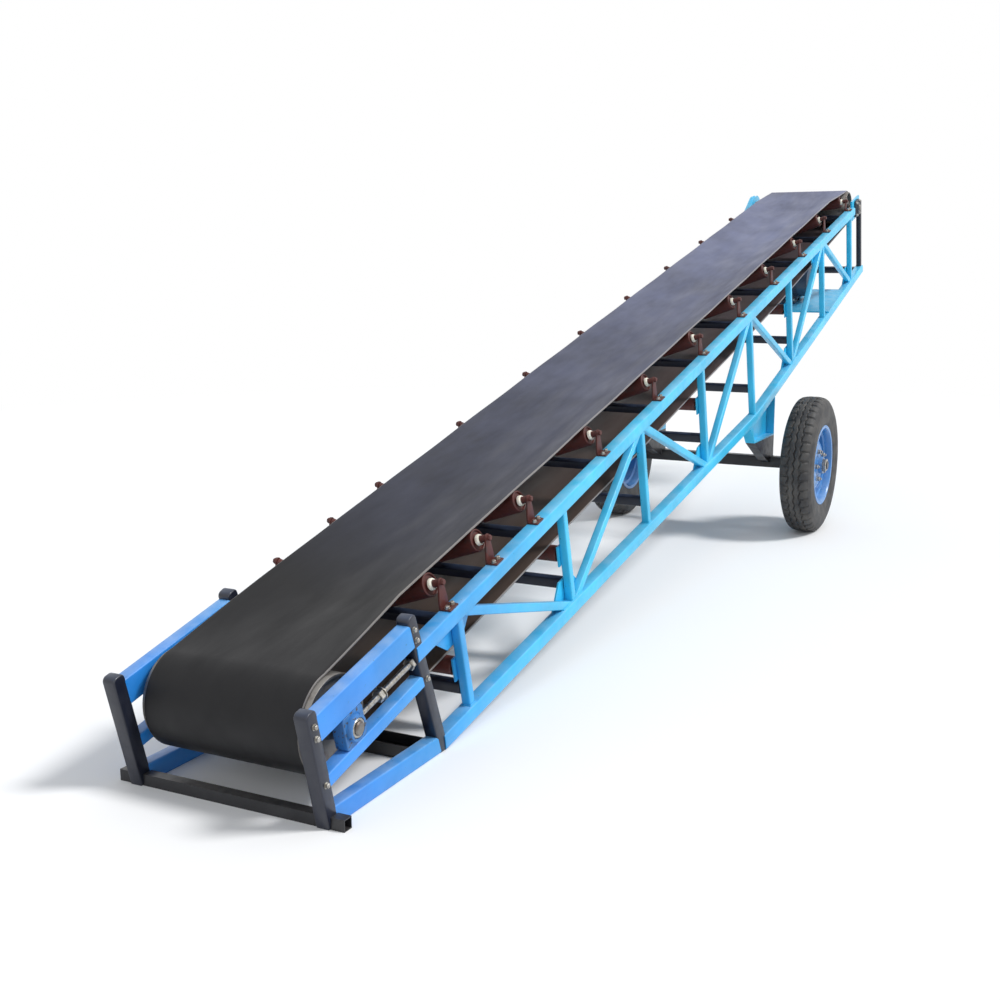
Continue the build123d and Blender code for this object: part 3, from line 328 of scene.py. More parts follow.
def plate(outline, y_a, y_b, edge=1.5):
    """Outline of side view points given a thickness from y_a to y_b. Its rim is rounded: ring k is moved
    in by edge (1 - sin t) and along y by edge (1 - cos t), for t from 0 to a quarter turn."""
    outline = np.asarray(outline, float)
    area = np.sum(outline[:, 0] * np.roll(outline[:, 1], -1) - np.roll(outline[:, 0], -1) * outline[:, 1])
    outline = outline if area > 0 else outline[::-1]
    ahead = np.roll(outline, -1, axis=0) - outline
    ahead = ahead / np.linalg.norm(ahead, axis=1)[:, None]
    inward = np.stack([-ahead[:, 1], ahead[:, 0]], -1)
    behind = np.roll(inward, 1, axis=0)
    shift = (inward + behind) / (1 + np.sum(inward * behind, axis=1))[:, None]
    turn = np.linspace(0, math.pi / 2, 4)
    move, lift = edge * (1 - np.sin(turn)), edge * (1 - np.cos(turn))
    low, high = sorted((y_a, y_b))
    inset = np.concatenate([move, move[::-1]])
    level = np.concatenate([low + lift, high - lift[::-1]])
    flat = outline[None] + inset[:, None, None] * shift[None]
    y = np.broadcast_to(level[:, None], flat.shape[:2])
    return surface(np.stack([flat[..., 0], y, flat[..., 1]], -1))


def block(centre, size, edge=3.0):
    """Box about a centre with rounded edges, as a plate of a rounded rectangle."""
    a, y, b = centre
    outline = rounded(size[0], size[2], edge, 2) + (a, b)
    return plate(outline, y - size[1] / 2, y + size[1] / 2, edge)


def bolt(origin, axis, across=20.0):
    """Washer and hexagon head: a short ring with six flats, its top edge cut back by a tenth."""
    r = across / math.sqrt(3)
    washer = [(0, r * 1.25), (0.12 * across, r * 1.25)]
    head = [(0, r), (0.6 * across, r), (0.7 * across, 0.84 * r)]
    return [lathe(washer, origin, axis, 14), lathe(head, origin, axis, 6)]


def bolt_grid(centre, firsts, seconds, axis, across):
    """Bolts at each pair of steps from a centre: point = centre + a (1, 0, 0) + b other, where other is
    the axis that is square to s and to the bolts."""
    other = np.array(UP if axis[1] else ACROSS, float)
    return [part for a in firsts for b in seconds
            for part in bolt(np.array(centre, float) + (a, 0, 0) + b * other, axis, across)]


def bead(loop, normal, radius, ripple=9.0):
    """Weld bead: a small circle carried round a closed loop, its radius swelling with the arc length as
    1 + 0.16 sin(2 pi length / ripple)."""
    loop = np.asarray(loop, float)
    ahead = np.roll(loop, -1, axis=0) - np.roll(loop, 1, axis=0)
    ahead = ahead / np.linalg.norm(ahead, axis=1)[:, None]
    side = np.cross(ahead, normal)
    length = np.cumsum(np.linalg.norm(loop - np.roll(loop, 1, axis=0), axis=1))
    size = radius * (1 + 0.16 * np.sin(FULL_TURN * length / ripple))
    turn = FULL_TURN * np.arange(6) / 6
    rings = loop[:, None] + size[:, None, None] * (
        np.cos(turn)[None, :, None] * side[:, None] + np.sin(turn)[None, :, None] * np.asarray(normal, float))
    return surface(rings, path_closed=True)


def rectangle_loop(centre, u, v, half_u, half_v, spacing=4.0):
    """Points every few millimetres round a rectangle about a centre, spanned by u and v."""
    corners = np.array([(-1, -1), (1, -1), (1, 1), (-1, 1), (-1, -1)]) * (half_u, half_v)
    lengths = np.linalg.norm(np.diff(corners, axis=0), axis=1)
    total = np.concatenate([[0], np.cumsum(lengths)])
    along = np.arange(0, total[-1], spacing)
    flat = np.stack([np.interp(along, total, corners[:, i]) for i in (0, 1)], -1)
    return np.asarray(centre, float) + flat[:, :1] * np.asarray(u, float) + flat[:, 1:] * np.asarray(v, float)


def make_piece(name, chunks, slot, *nodes, body="root", place=belt_place, sharp=38):
    """One mesh object from closed chunks, set in its place in the row frame. It takes the finish of its
    slot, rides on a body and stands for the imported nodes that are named."""
    points, faces, count = [], [], 0
    for flat, quads, caps in chunks:
        points.append(place(flat))
        faces += (quads + count).tolist() + [(cap + count).tolist() for cap in caps]
        count += len(flat)
    mesh = bpy.data.meshes.new(name)
    mesh.from_pydata(np.vstack(points).tolist(), [], faces)
    mesh.shade_smooth()
    mesh.set_sharp_from_angle(angle=math.radians(sharp))
    mesh.materials.append(finish(slot))
    piece = linked(name, mesh)
    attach(piece, body)
    if nodes:
        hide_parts(*nodes)
    return piece


def linked(name, data):
    """New object with its data, in the scene's collection."""
    made = bpy.data.objects.new(name, data)
    bpy.context.scene.collection.objects.link(made)
    return made


def empty_tree(owner):
    """Node tree of a material or a world, without the nodes it starts with."""
    owner.use_nodes = True
    owner.node_tree.nodes.clear()
    return owner.node_tree


def add_node(tree, kind, settings=None, links=None):
    """One node with its attributes or socket values set and its inputs linked."""
    node = tree.nodes.new(kind)
    for key, value in (settings or {}).items():
        if isinstance(key, str) and hasattr(node, key):
            setattr(node, key, value)
        else:
            node.inputs[key].default_value = value
    for key, source in (links or {}).items():
        tree.links.new(source, node.inputs[key])
    return node


def patches(tree, place, size_mm, detail, span=None, to=(0.0, 1.0), stretch=None):
    """Fractal pattern whose grain has a real size in millimetres. With a span it is cut there, to the
    first number below and the second above. stretch scales its axes before it is turned by the incline,
    for streaks along the machine."""
    if stretch:
        place = add_node(tree, "ShaderNodeMapping", {"Rotation": (0, INCLINE, 0), "Scale": stretch},
                         {"Vector": place}).outputs["Vector"]
    pattern = add_node(tree, "ShaderNodeTexNoise", {"Scale": 1000.0 / size_mm, "Detail": detail},
                       {"Vector": place}).outputs["Fac"]
    if span is None:
        return pattern
    limits = {"From Min": span[0], "From Max": span[1], "To Min": to[0], "To Max": to[1]}
    return add_node(tree, "ShaderNodeMapRange", limits, {"Value": pattern}).outputs["Result"]


def layered(tree, base, *layers):
    """Colour of a base under layers, each a share and a colour, either of which may be an output."""
    for share, colour in layers:
        node = add_node(tree, "ShaderNodeMix", {"data_type": "RGBA"}, {0: share})
        for socket, value in ((6, base), (7, colour)):
            if isinstance(value, bpy.types.NodeSocket):
                tree.links.new(value, node.inputs[socket])
            else:
                node.inputs[socket].default_value = (*value, 1.0)
        base = node.outputs[2]
    return base


def stained(base, *layers):
    """Colour function of a base under layers, each given as its colour and its patches."""
    def colour(tree, place):
        return layered(tree, base, *((patches(tree, place, *patch), over) for over, *patch in layers))
    return colour


def along_machine(tree, place, start, end, most=1.0):
    """Share that grows from 0 to most between two places along the machine, in metres."""
    x = add_node(tree, "ShaderNodeSeparateXYZ", None, {"Vector": place}).outputs["X"]
    return add_node(tree, "ShaderNodeMapRange", {"From Min": start, "From Max": end, "To Max": most},
                    {"Value": x}).outputs["Result"]


def marked(tree, attribute, low, most):
    """Share that grows from 0 to most where a point attribute goes from low to 1."""
    mark = add_node(tree, "ShaderNodeAttribute", {"attribute_name": attribute}).outputs["Fac"]
    return add_node(tree, "ShaderNodeMapRange", {"From Min": low, "To Max": most},
                    {"Value": mark}).outputs["Result"]


def up_share(tree, low):
    """How far a surface faces up: 0 where the world normal's z is low, 1 where it is 1."""
    normal = add_node(tree, "ShaderNodeNewGeometry").outputs["Normal"]
    z = add_node(tree, "ShaderNodeSeparateXYZ", None, {"Vector": normal}).outputs["Z"]
    return add_node(tree, "ShaderNodeMapRange", {"From Min": low}, {"Value": z}).outputs["Result"]


def scaled(colour, share):
    """Colour made darker or lighter by a share."""
    return tuple(min(1.0, c * share) for c in colour)


def paint(name):
    """Colour that the user has set."""
    return tuple(getattr(bpy.context.scene.conveyor_colours, name))


def shader(name, settings, colour, skin=None, gloss=None):
    """Material with one shader, whose fixed numbers stand on its own sockets. colour is a function that
    adds its nodes and returns an output. skin is a bump's grain, detail, strength, height in metres and
    stretch, and gloss is a roughness pattern's grain, detail, range and stretch."""
    if name in bpy.data.materials:
        return bpy.data.materials[name]
    material = bpy.data.materials.new(name)
    tree = empty_tree(material)
    place = add_node(tree, "ShaderNodeTexCoord").outputs["Object"]
    links = {"Base Color": colour(tree, place)}
    if gloss:
        size_mm, detail, to, stretch = (*gloss, None)[:4]
        links["Roughness"] = patches(tree, place, size_mm, detail, (0.3, 0.7), to, stretch)
    if skin:
        size_mm, detail, strength, reach, stretch = (*skin, None)[:5]
        height = patches(tree, place, size_mm, detail, stretch=stretch)
        links["Normal"] = add_node(tree, "ShaderNodeBump", {"Strength": strength, "Distance": reach},
                                   {"Height": height}).outputs["Normal"]
    principled = add_node(tree, "ShaderNodeBsdfPrincipled", settings, links)
    add_node(tree, "ShaderNodeOutputMaterial", None, {"Surface": principled.outputs["BSDF"]})
    return material


def enamel(name, colour, roughness=0.34, dust="#c3d2dc", deep=None):
    """Brushed or sprayed machine enamel on welded steel. The eye sees a clear glossy colour that is a
    little uneven over a hand's breadth, small chips down to the dark primer, and dust on what faces up.
    With a deep colour, the tail end turns to that deeper blue, a painted shade."""
    def colours(tree, place):
        broad = patches(tree, place, 240, 2, (0.35, 0.65))
        shade = layered(tree, scaled(colour, 0.84), (broad, scaled(colour, 1.07)))
        # Towards the tail the enamel turns to the deep colour, a painted shade
        if deep:
            tail_shade = layered(tree, scaled(deep, 0.84), (broad, scaled(deep, 1.07)))
            shade = layered(tree, tail_shade, (along_machine(tree, place, TAIL_SHADE_FROM_X, TAIL_SHADE_TO_X), shade))
        # Chips are drawn at 9 mm, as coarse as they need to show
        chips = patches(tree, place, 9, 3, (0.7, 0.74), (0.0, 0.7))
        settled = add_node(tree, "ShaderNodeMath", {"operation": "MULTIPLY"}, {
            0: up_share(tree, 0.35), 1: patches(tree, place, 60, 3, (0.3, 0.7), (0.05, 0.3))}).outputs[0]
        return layered(tree, shade, (chips, scaled(colour, 0.25)), (settled, linear(dust)))
    return shader(name, {"Coat Weight": 0.25, "Coat Roughness": 0.18}, colours, skin=(9, 2, 0.12, 0.001),
                  gloss=(35, 3, (roughness - 0.06, roughness + 0.14)))


def belt_rubber():
    """Calendered rubber conveyor belt. The eye sees a near-black smooth sheet, worn satin and greyer
    towards the head where ground stone dust stays in it, with fine streaks along its run and clay on its
    inner side. Its cut edge carries a grey painted highlight."""
    dust = paint("belt_dust")

    def colour(tree, place):
        share = along_machine(tree, place, DUST_FROM_X, DUST_TO_X, 0.95)
        streak = patches(tree, place, 26, 5, (0.3, 0.75), (0.0, 0.35), (0.06, 1, 1))
        patch = patches(tree, place, 420, 3, (0.3, 0.7), (0.5, 1.15))
        dusty, streaked = (
            add_node(tree, "ShaderNodeMath", {"operation": "MULTIPLY"}, {0: share, 1: other}).outputs[0]
            for other in (patch, streak))
        return layered(tree, paint("belt"), (dusty, dust), (streaked, dust),
                       (marked(tree, "inner_side", 0.5, 0.85), linear("#4c3d33")),
                       # The cut edge gets a grey painted highlight
                       (marked(tree, "cut_edge", 0.2, 0.6), linear("#97928e")))
    return shader("calendered_belt_rubber", {"Specular IOR Level": 0.3}, colour,
                  skin=(7, 3, 0.2, 0.0008, (0.3, 1, 1)), gloss=(90, 4, (0.4, 0.6), (0.2, 1, 1)))


def tyre_rubber():
    """Moulded tyre rubber with road dust. The eye sees dull charcoal, paler where dust lies on the
    sidewall, and a fine grain."""
    return shader("moulded_tyre_rubber", {"Roughness": 0.62},
                  stained(paint("tyre"), (linear("#6d6963"), 70, 5, (0.4, 0.75), (0.0, 0.45))),
                  skin=(5, 3, 0.25, 0.001))


def oxide_paint():
    """Red oxide primer on rolled idler steel. The eye sees a dull brown red, rubbed to a darker metal
    where the belt or a hand touches it. Its base is kept darker than the primer, partly as painted shade."""
    base = paint("roller")
    return shader("red_oxide_primer", {"Roughness": 0.55},
                  stained(scaled(base, 0.75), (base, 110, 2, (0.3, 0.7)),
                          (linear("#3b2a27"), 22, 4, (0.55, 0.68), (0.0, 0.8))), skin=(6, 3, 0.2, 0.0008))


def seal_plastic():
    """Injection-moulded cream polypropylene. The eye sees a soft satin plastic with grease shadows."""
    return shader("moulded_cream_plastic", {"Roughness": 0.45, "Subsurface Weight": 0.05},
                  stained(paint("seal"), (linear("#8e8578"), 12, 3, (0.45, 0.8), (0.0, 0.6))))


def bright_steel():
    """Zinc-plated steel of screws, nuts and bolts. The eye sees a grey metal with soft bright edges."""
    return shader("zinc_plated_steel", {"Metallic": 1.0},
                  stained(linear("#b8b6b0"), (linear("#7c746a"), 9, 4, (0.4, 0.8))),
                  gloss=(16, 3, (0.28, 0.5)))


def drum_steel():
    """Rolled steel drum, polished by the belt. The eye sees a grey satin metal with rust in the ends."""
    return shader("rolled_drum_steel", {"Metallic": 0.8, "Roughness": 0.48},
                  stained(linear("#83807c"), (linear("#4c3a30"), 40, 5, (0.5, 0.7), (0.0, 0.8))))


def cast_iron(name, colour):
    """Painted grey iron casting. The eye sees a matt skin with the coarse grain of sand casting, and
    small spots where the paint is gone."""
    return shader(name, {"Roughness": 0.5, "Coat Weight": 0.1, "Coat Roughness": 0.3},
                  stained(scaled(colour, 0.75), (scaled(colour, 1.1), 60, 3, (0.3, 0.7)),
                          (linear("#3c3733"), 11, 4, (0.6, 0.64))), skin=(4, 3, 0.35, 0.0012))


def finish(slot):
    """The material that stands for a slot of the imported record."""
    makers = {
        "frame_blue": lambda: enamel("sky_blue_enamel", paint("frame_blue"), deep=paint("frame_deep")),
        # Navy of posts, cross tubes, idler bars and tip uprights: partly their enamel, partly painted shade
        "post_navy": lambda: enamel("navy_enamel", paint("post_navy"), 0.38, "#4a5f80"),
        "belt_rubber": belt_rubber,
        "tyre_rubber": tyre_rubber,
        "rim_blue": lambda: enamel("rim_enamel", paint("rim"), 0.3),
        "roller_red": oxide_paint,
        "cap_cream": seal_plastic,
        "bright_steel": bright_steel,
        "casting_blue": lambda: cast_iron("painted_casting_blue", paint("casting")),
        "casting_dark": lambda: cast_iron("painted_casting_dark", linear("#2c3440")),
        "drum_steel": drum_steel,
        "motor_slate": lambda: enamel("slate_enamel", paint("drive"), 0.4, "#8b95a0"),
        "axle_black": lambda: enamel("black_paint", paint("axle"), 0.45, "#5a5653"),
    }
    return makers[slot]()


def dress(slot, *nodes):
    """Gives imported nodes, which keep their shape, the finish of their slot."""
    for name in nodes:
        node = frame["nodes"][name]
        node.data.materials.clear()
        node.data.materials.append(finish(slot))


def tangent_angle(drum, point, turn):
    """Angle on a drum where the straight run to a point leaves it: bearing plus or minus acos(r / d)."""
    s, n, radius = drum
    reach = math.hypot(point[0] - s, point[1] - n)
    return math.atan2(point[1] - n, point[0] - s) + turn * math.acos(radius / reach)


def with_gap(drum):
    """Drum with the running gap added to its radius."""
    return (drum[0], drum[1], drum[2] + RUNNING_GAP)


def belt_shape(s):
    """Level of the belt's middle and angle of its wings on the carrying run, flattening to the head."""
    share = np.clip((s - TROUGH_END_S) / (HEAD_DRUM[0] - TROUGH_END_S), 0, 1)
    level = BELT_CENTRE_N + share * (HEAD_DRUM[1] + HEAD_DRUM[2] + RUNNING_GAP - BELT_CENTRE_N)
    return level, np.arcsin((1 - share) * math.sin(TROUGH_ANGLE))


def sag(s, stations, depth, reference):
    """Hang between supports: depth (pitch / reference)^2 sin^2(pi share of the pitch)."""
    slot = np.clip(np.searchsorted(stations, s) - 1, 0, len(stations) - 2)
    pitch = stations[slot + 1] - stations[slot]
    share = np.clip((s - stations[slot]) / pitch, 0, 1)
    return depth * (pitch / reference) ** 2 * np.sin(math.pi * share) ** 2


class CONVEYOR_OT_belt(bpy.types.Operator):
    """Troughed belt loop, hanging a little between its rollers"""
    bl_idname = "conveyor.belt"
    bl_label = "Belt"

    def execute(self, context):
        tail, head = with_gap(TAIL_DRUM), with_gap(HEAD_DRUM)
        return_n = TAIL_DRUM[1] - tail[2]
        last_return = (PANELS[RETURN_PANELS[-1]], return_n)
        carry_start, carry_end = (TROUGH_START_S, BELT_CENTRE_N), (TROUGH_END_S, BELT_CENTRE_N)
        leave = tangent_angle(tail, carry_start, 1)
        meet = tangent_angle(head, carry_end, -1)
        low = tangent_angle(head, last_return, 1)
        depth = context.scene.conveyor_sizes.belt_sag / MM

        def on_drum(drum, turn):
            return np.stack([drum[0] + drum[2] * np.cos(turn), drum[1] + drum[2] * np.sin(turn)], -1)

        # Stations: side view point of the inner face, angle of the outward normal, angle of the wings
        tail_turn = np.linspace(1.5 * math.pi, leave, 40)
        head_turn = np.linspace(meet, low, 36)
        ramp = np.linspace(0, 1, 12)[1:-1]
        tail_top, head_top = on_drum(tail, np.array([leave]))[0], on_drum(head, np.array([meet]))[0]
        carry_s = np.linspace(TROUGH_START_S, TROUGH_END_S, 170)
        supports = np.concatenate([[TROUGH_START_S], IDLERS])
        carry_n = BELT_CENTRE_N - sag(carry_s, supports, depth, CARRY_PITCH)
        rise = math.sin(TROUGH_ANGLE)
        back_s = np.linspace(last_return[0], TAIL_DRUM[0], 110)[:-1]
        back_n = return_n - sag(back_s, PANELS[list(RETURN_PANELS)], 2 * depth, RETURN_PITCH)
        runs = (
            (on_drum(tail, tail_turn), tail_turn, 0 * tail_turn),
            (tail_top + ramp[:, None] * (carry_start - tail_top),
             leave + ramp * (math.pi / 2 - leave), np.arcsin(ramp * rise)),
            (np.stack([carry_s, carry_n], -1), 0 * carry_s + math.pi / 2, 0 * carry_s + TROUGH_ANGLE),
            (carry_end + ramp[:, None] * (head_top - carry_end),
             math.pi / 2 + ramp * (meet - math.pi / 2), np.arcsin((1 - ramp) * rise)),
            (on_drum(head, head_turn), head_turn, 0 * head_turn),
            (np.stack([back_s, back_n], -1), 0 * back_s - math.pi / 2, 0 * back_s),
        )
        centre = np.concatenate([r[0] for r in runs])
        normal = np.concatenate([r[1] for r in runs])
        wing = np.maximum(np.concatenate([r[2] for r in runs]), 1e-5)

        # Section: half width w from the middle, height t above the inner face, with rounded edges
        edge, bend = 3.0, 32.0
        reach = HALF_BELT - edge
        corner = np.linspace(0, math.pi / 2, 4)
        flat = np.linspace(-reach, reach, 49)
        rise_in, rise_out = edge * np.sin(corner), edge * np.cos(corner)
        w = np.concatenate([flat, reach + rise_in[1:], reach + rise_out[:-1],
                            flat[::-1], -reach - rise_in[1:], -reach - rise_out[:-1]])
        top = BELT_THICKNESS - edge
        t = np.concatenate([0 * flat, edge - rise_out[1:], top + rise_in[:-1],
                            0 * flat + BELT_THICKNESS, top + rise_out[1:], edge - rise_in[:-1]])
        # Each wing turns up round an arc of length 2 bend about the fold, and then runs straight
        size, sign = np.abs(w)[None], np.sign(w)[None]
        inner = FOLD_Y - bend
        angle = wing[:, None] * np.clip((size - inner) / (2 * bend), 0, 1)
        radius = 2 * bend / wing[:, None]
        beyond = np.maximum(size - inner - 2 * bend, 0)
        out = np.minimum(size, inner) + radius * np.sin(angle) + beyond * np.cos(angle)
        lift = radius * (1 - np.cos(angle)) + beyond * np.sin(angle)
        y = sign * (out - t * np.sin(angle))
        h = lift + t * np.cos(angle)
        points = np.stack([centre[:, :1] + h * np.cos(normal)[:, None], y,
                           centre[:, 1:] + h * np.sin(normal)[:, None]], -1)
        belt = make_piece("troughed_belt", [surface(points, path_closed=True)], "belt_rubber", "belt")
        # cut_edge marks the belt's rounded edge, where the finish lays a grey painted highlight
        for name, ring in (("inner_side", 1 - t / BELT_THICKNESS), ("cut_edge", np.abs(w) > reach + 0.1)):
            mark = belt.data.attributes.new(name, "FLOAT", "POINT")
            mark.data.foreach_set("value", np.tile(ring, len(centre)).astype(np.float32))
        return {"FINISHED"}


def roller(length, radius, stub, origin, axis):
    """Idler roller: tube with a rolled rim at each end, a set-back end disc and its shaft."""
    half = length / 2
    end = [(-half - stub, STUB_R - 1), (-half - stub + 1, STUB_R), (-half + 7, STUB_R),
           (-half + 7, radius - 7), (-half + 1, radius - 5), (-half, radius - 3), (-half + 3, radius)]
    return lathe(end + [(-h, r) for h, r in end[::-1]], origin, axis, 28)


def wing_axis(s, sign):
    """Point under the fold of the belt and direction of a wing roller's axis at an idler."""
    level, angle = (float(v) for v in belt_shape(np.array(s)))
    drop = ROLLER_R + RUNNING_GAP
    start = np.array([s, sign * (FOLD_Y + drop * math.sin(angle)), level - drop * math.cos(angle)])
    return start, np.array([0, sign * math.cos(angle), math.sin(angle)])


def on_wing_axis(start, axis, y):
    """Point of a wing roller's axis at a distance y from the middle plane."""
    return start + (y - abs(start[1])) / abs(axis[1]) * axis


class CONVEYOR_OT_rollers(bpy.types.Operator):
    """Carrying and return rollers with rolled rims, and their cream seals"""
    bl_idname = "conveyor.rollers"
    bl_label = "Rollers and seals"

    def execute(self, context):
        centre, wings, seals = [], [], []
        seal = [(0, 13), (0, 19), (7, 19), (10, 17.5), (12, 15), (12, 13)]
        centre_stub, most_wing_stub, return_stub = 3.5, 9.0, 8.5
        for s in IDLERS:
            axis_n = float(belt_shape(s)[0]) - RUNNING_GAP - ROLLER_R
            centre.append(roller(ROLLER_LENGTH, ROLLER_R, centre_stub, (s, 0, axis_n), ACROSS))
            for sign in SIGNS:
                start, axis = wing_axis(s, sign)
                stub = (OUTER_BRACKET_Y - abs(start[1])) / abs(axis[1]) - ROLLER_START - ROLLER_LENGTH
                middle = start + (ROLLER_START + ROLLER_LENGTH / 2) * axis
                outer = start + (ROLLER_START + ROLLER_LENGTH) * axis
                wings += [roller(ROLLER_LENGTH, ROLLER_R, min(stub, most_wing_stub), middle, axis),
                          lathe([(0, STUB_R), (stub, STUB_R)], outer, axis, 16)]
                seals.append(lathe(seal, outer, axis, 24, closed=True))
        returns = [roller(2 * RETURN_HALF, RETURN_R, return_stub, (PANELS[k], 0, RETURN_AXIS_N), ACROSS)
                   for k in RETURN_PANELS]
        make_piece("centre_idlers", centre, "roller_red", "centre_rollers")
        make_piece("wing_idlers", wings, "roller_red", "wing_rollers")
        make_piece("return_idlers", returns, "roller_red", "return_rollers")
        make_piece("roller_seals", seals, "cap_cream", "idler_end_caps")
        return {"FINISHED"}


def bracket(s, sign):
    """Outer bracket: a foot on the chord and a leg that narrows to a round eye about the roller's shaft."""
    eye_n = on_wing_axis(*wing_axis(s, sign), OUTER_BRACKET_Y + BRACKET_PLATE / 2)[2]
    eye_r, half, low, high = 13.5, 25.0, CHORD / 2, 48.0
    turn = np.linspace(-0.15, math.pi + 0.15, 14)
    eye = np.stack([s + eye_r * np.cos(turn), eye_n + eye_r * np.sin(turn)], -1)
    leg = np.vstack([eye, [(s - half, high), (s - half, low), (s + half, low), (s + half, high)]])
    foot = (s, sign * (OUTER_BRACKET_Y + BRACKET_FOOT_Y) / 2, low + BRACKET_PLATE / 2)
    return [plate(leg, sign * OUTER_BRACKET_Y, sign * (OUTER_BRACKET_Y + BRACKET_PLATE), 1.2),
            block(foot, (2 * half, BRACKET_FOOT_Y - OUTER_BRACKET_Y, BRACKET_PLATE), 1.4)]


class CONVEYOR_OT_idler_frames(bpy.types.Operator):
    """Bars, brackets and bolts that carry the rollers"""
    bl_idname = "conveyor.idler_frames"
    bl_label = "Idler frames"

    def execute(self, context):
        bars, bolts, brackets = [], [], []
        for s in IDLERS:
            bars.append(cross_run(s, IDLER_BAR_N, INNER_FACE, *IDLER_BAR, 5.0, wall=3.0))
            for sign in SIGNS:
                brackets += bracket(s, sign)
                foot = (s, sign * BRACKET_BOLT_Y, CHORD / 2 + BRACKET_PLATE)
                bolts += bolt_grid(foot, (-15.0, 15.0), (0.0,), UP, 13.0)
                eye = on_wing_axis(*wing_axis(s, sign), OUTER_BRACKET_Y + BRACKET_PLATE)
                brackets += bolt(eye, (0, sign, 0), 17.0)
        make_piece("idler_cross_tubes", bars, "post_navy", "idler_bars")
        make_piece("idler_bolts", bolts, "bright_steel")
        make_piece("idler_end_brackets", brackets, "roller_red", "idler_outer_brackets")
        dress("roller_red", "idler_inner_brackets")
        dress("frame_blue", "return_hangers")
        return {"FINISHED"}


def drum_piece(drum, half_shaft_right, half_shaft_left):
    """Drum turned from one profile: shaft, hub, set-back end disc, shell, with a slight crown."""
    s, n, radius = drum
    face, inset, shell, hub = DRUM_HALF_FACE, 18.0, 10.0, 44.0

    def end(shaft):
        return [(shaft, SHAFT_R - 3), (shaft - 3, SHAFT_R), (face + 1, SHAFT_R), (face, hub - 4),
                (face - 3, hub), (face - inset, hub + 3), (face - inset, radius - shell - 2),
                (face - 1, radius - shell), (face, radius - shell + 2), (face, radius - 3),
                (face - 2, radius - 1.5)]
    right = [(-h, r) for h, r in end(half_shaft_right)]
    crown = [(-120.0, radius), (120.0, radius)]
    return lathe(right + crown + end(half_shaft_left)[::-1], (s, 0, n), steps=72)


class CONVEYOR_OT_drums(bpy.types.Operator):
    """Tail and head drums on their shafts, the head's carried by flange bearings"""
    bl_idname = "conveyor.drums"
    bl_label = "Drums and head bearings"

    def execute(self, context):
        make_piece("tail_drum_turned", [drum_piece(TAIL_DRUM, SHAFT_HALF, SHAFT_HALF)], "drum_steel",
                   "tail_drum")
        make_piece("head_drum_turned", [drum_piece(HEAD_DRUM, SHAFT_HALF, DRIVEN_SHAFT_HALF)], "drum_steel",
                   "head_drum")
        castings, bolts, rings = [], [], []
        s, n = HEAD_DRUM[:2]
        face, width, flange, bolt_step = HALF_TRUSS + HEAD_PLATE, 108.0, 14.0, 40.0
        for sign in SIGNS:
            out = (0, sign, 0)
            castings.append(plate(rounded(width, width, 14.0, 4) + (s, n), sign * face,
                                  sign * (face + flange), 3))
            castings.append(lathe([(0, 42), (6, 40), (12, 38), (12, 25), (0, 25)],
                                  (s, sign * (face + flange - 1), n), out, 32, closed=True))
            rings.append(lathe([(0, 25), (10, 25), (10, 21), (0, 21)],
                               (s, sign * (face + flange + 0.5), n), out, 32, closed=True))
            bolts += bolt_grid((s, sign * (face + flange), n), (-bolt_step, bolt_step),
                               (-bolt_step, bolt_step), out, 15.0)
        make_piece("head_flange_bearings", castings, "casting_dark", "head_bearings")
        make_piece("head_bearing_bolts", bolts + rings, "bright_steel")
        dress("frame_blue", "head_plates")
        return {"FINISHED"}


def thread(start, end, y, n, radius, pitch):
    """Threaded rod along s: radius less a triangle wave of (length / pitch - turn), so the crest climbs
    one pitch in each turn."""
    rows_per_pitch, cols, depth = 6, 16, 1.6
    rows = int((end - start) / pitch * rows_per_pitch)
    along = np.linspace(start, end, rows)[:, None]
    turn = np.arange(cols) / cols
    wave = np.abs(((along / pitch - turn) % 1.0) * 2 - 1)
    r = radius - depth * wave
    points = np.stack([along + 0 * r, y + r * np.cos(FULL_TURN * turn), n + r * np.sin(FULL_TURN * turn)], -1)
    return surface(points)


class CONVEYOR_OT_take_up(bpy.types.Operator):
    """Bearing blocks between the tail rails and the screws that draw them"""
    bl_idname = "conveyor.take_up"
    bl_label = "Take-up"

    def execute(self, context):
        s, n = TAIL_DRUM[:2]
        pitch = context.scene.conveyor_sizes.screw_pitch / MM
        long_s, high_n, half = 96.0, 100.0, 20.0
        r = SCREW_NUT_R
        collar_s, nuts = 114.0, ((96.0, 18.0), (268.0, 14.0))
        blocks, rings, screws = [], [], []
        for sign in SIGNS:
            y, out = sign * HALF_TRUSS, (0, sign, 0)
            face = sign * (HALF_TRUSS + half)
            blocks += [plate(rounded(high_n, long_s, 10.0, 3)[:, ::-1] + (s, n), y - half, y + half, 3),
                       lathe([(-2, 41), (6, 40), (12, 36), (12, 29), (-2, 29)], (s, face, n), out, 36,
                             closed=True),
                       lathe([(0, 4), (10, 4), (12, 2.5)], (s + 18, face, n + 34), out, 10)]
            rings.append(lathe([(-2, 29), (9, 29), (12, 26), (12, 21), (-2, 21)], (s, face, n), out, 36,
                               closed=True))
            screws += [thread(s + long_s / 2 - 2, SECOND_POST_TOP[0] + 2, y, n, SCREW_R, pitch),
                       lathe([(0, 22), (3, 22)], (collar_s, y, n), ALONG, 24)]
            screws += [lathe([(0, 0.88 * r), (2, r), (long - 2, r), (long, 0.88 * r)], (at, y, n), ALONG, 6)
                       for at, long in nuts]
        make_piece("takeup_bearing_blocks", blocks, "casting_blue", "takeup_blocks")
        make_piece("takeup_threaded_screws", screws, "bright_steel", "takeup_screws", sharp=30)
        make_piece("takeup_bearing_rings", rings, "bright_steel")
        return {"FINISHED"}


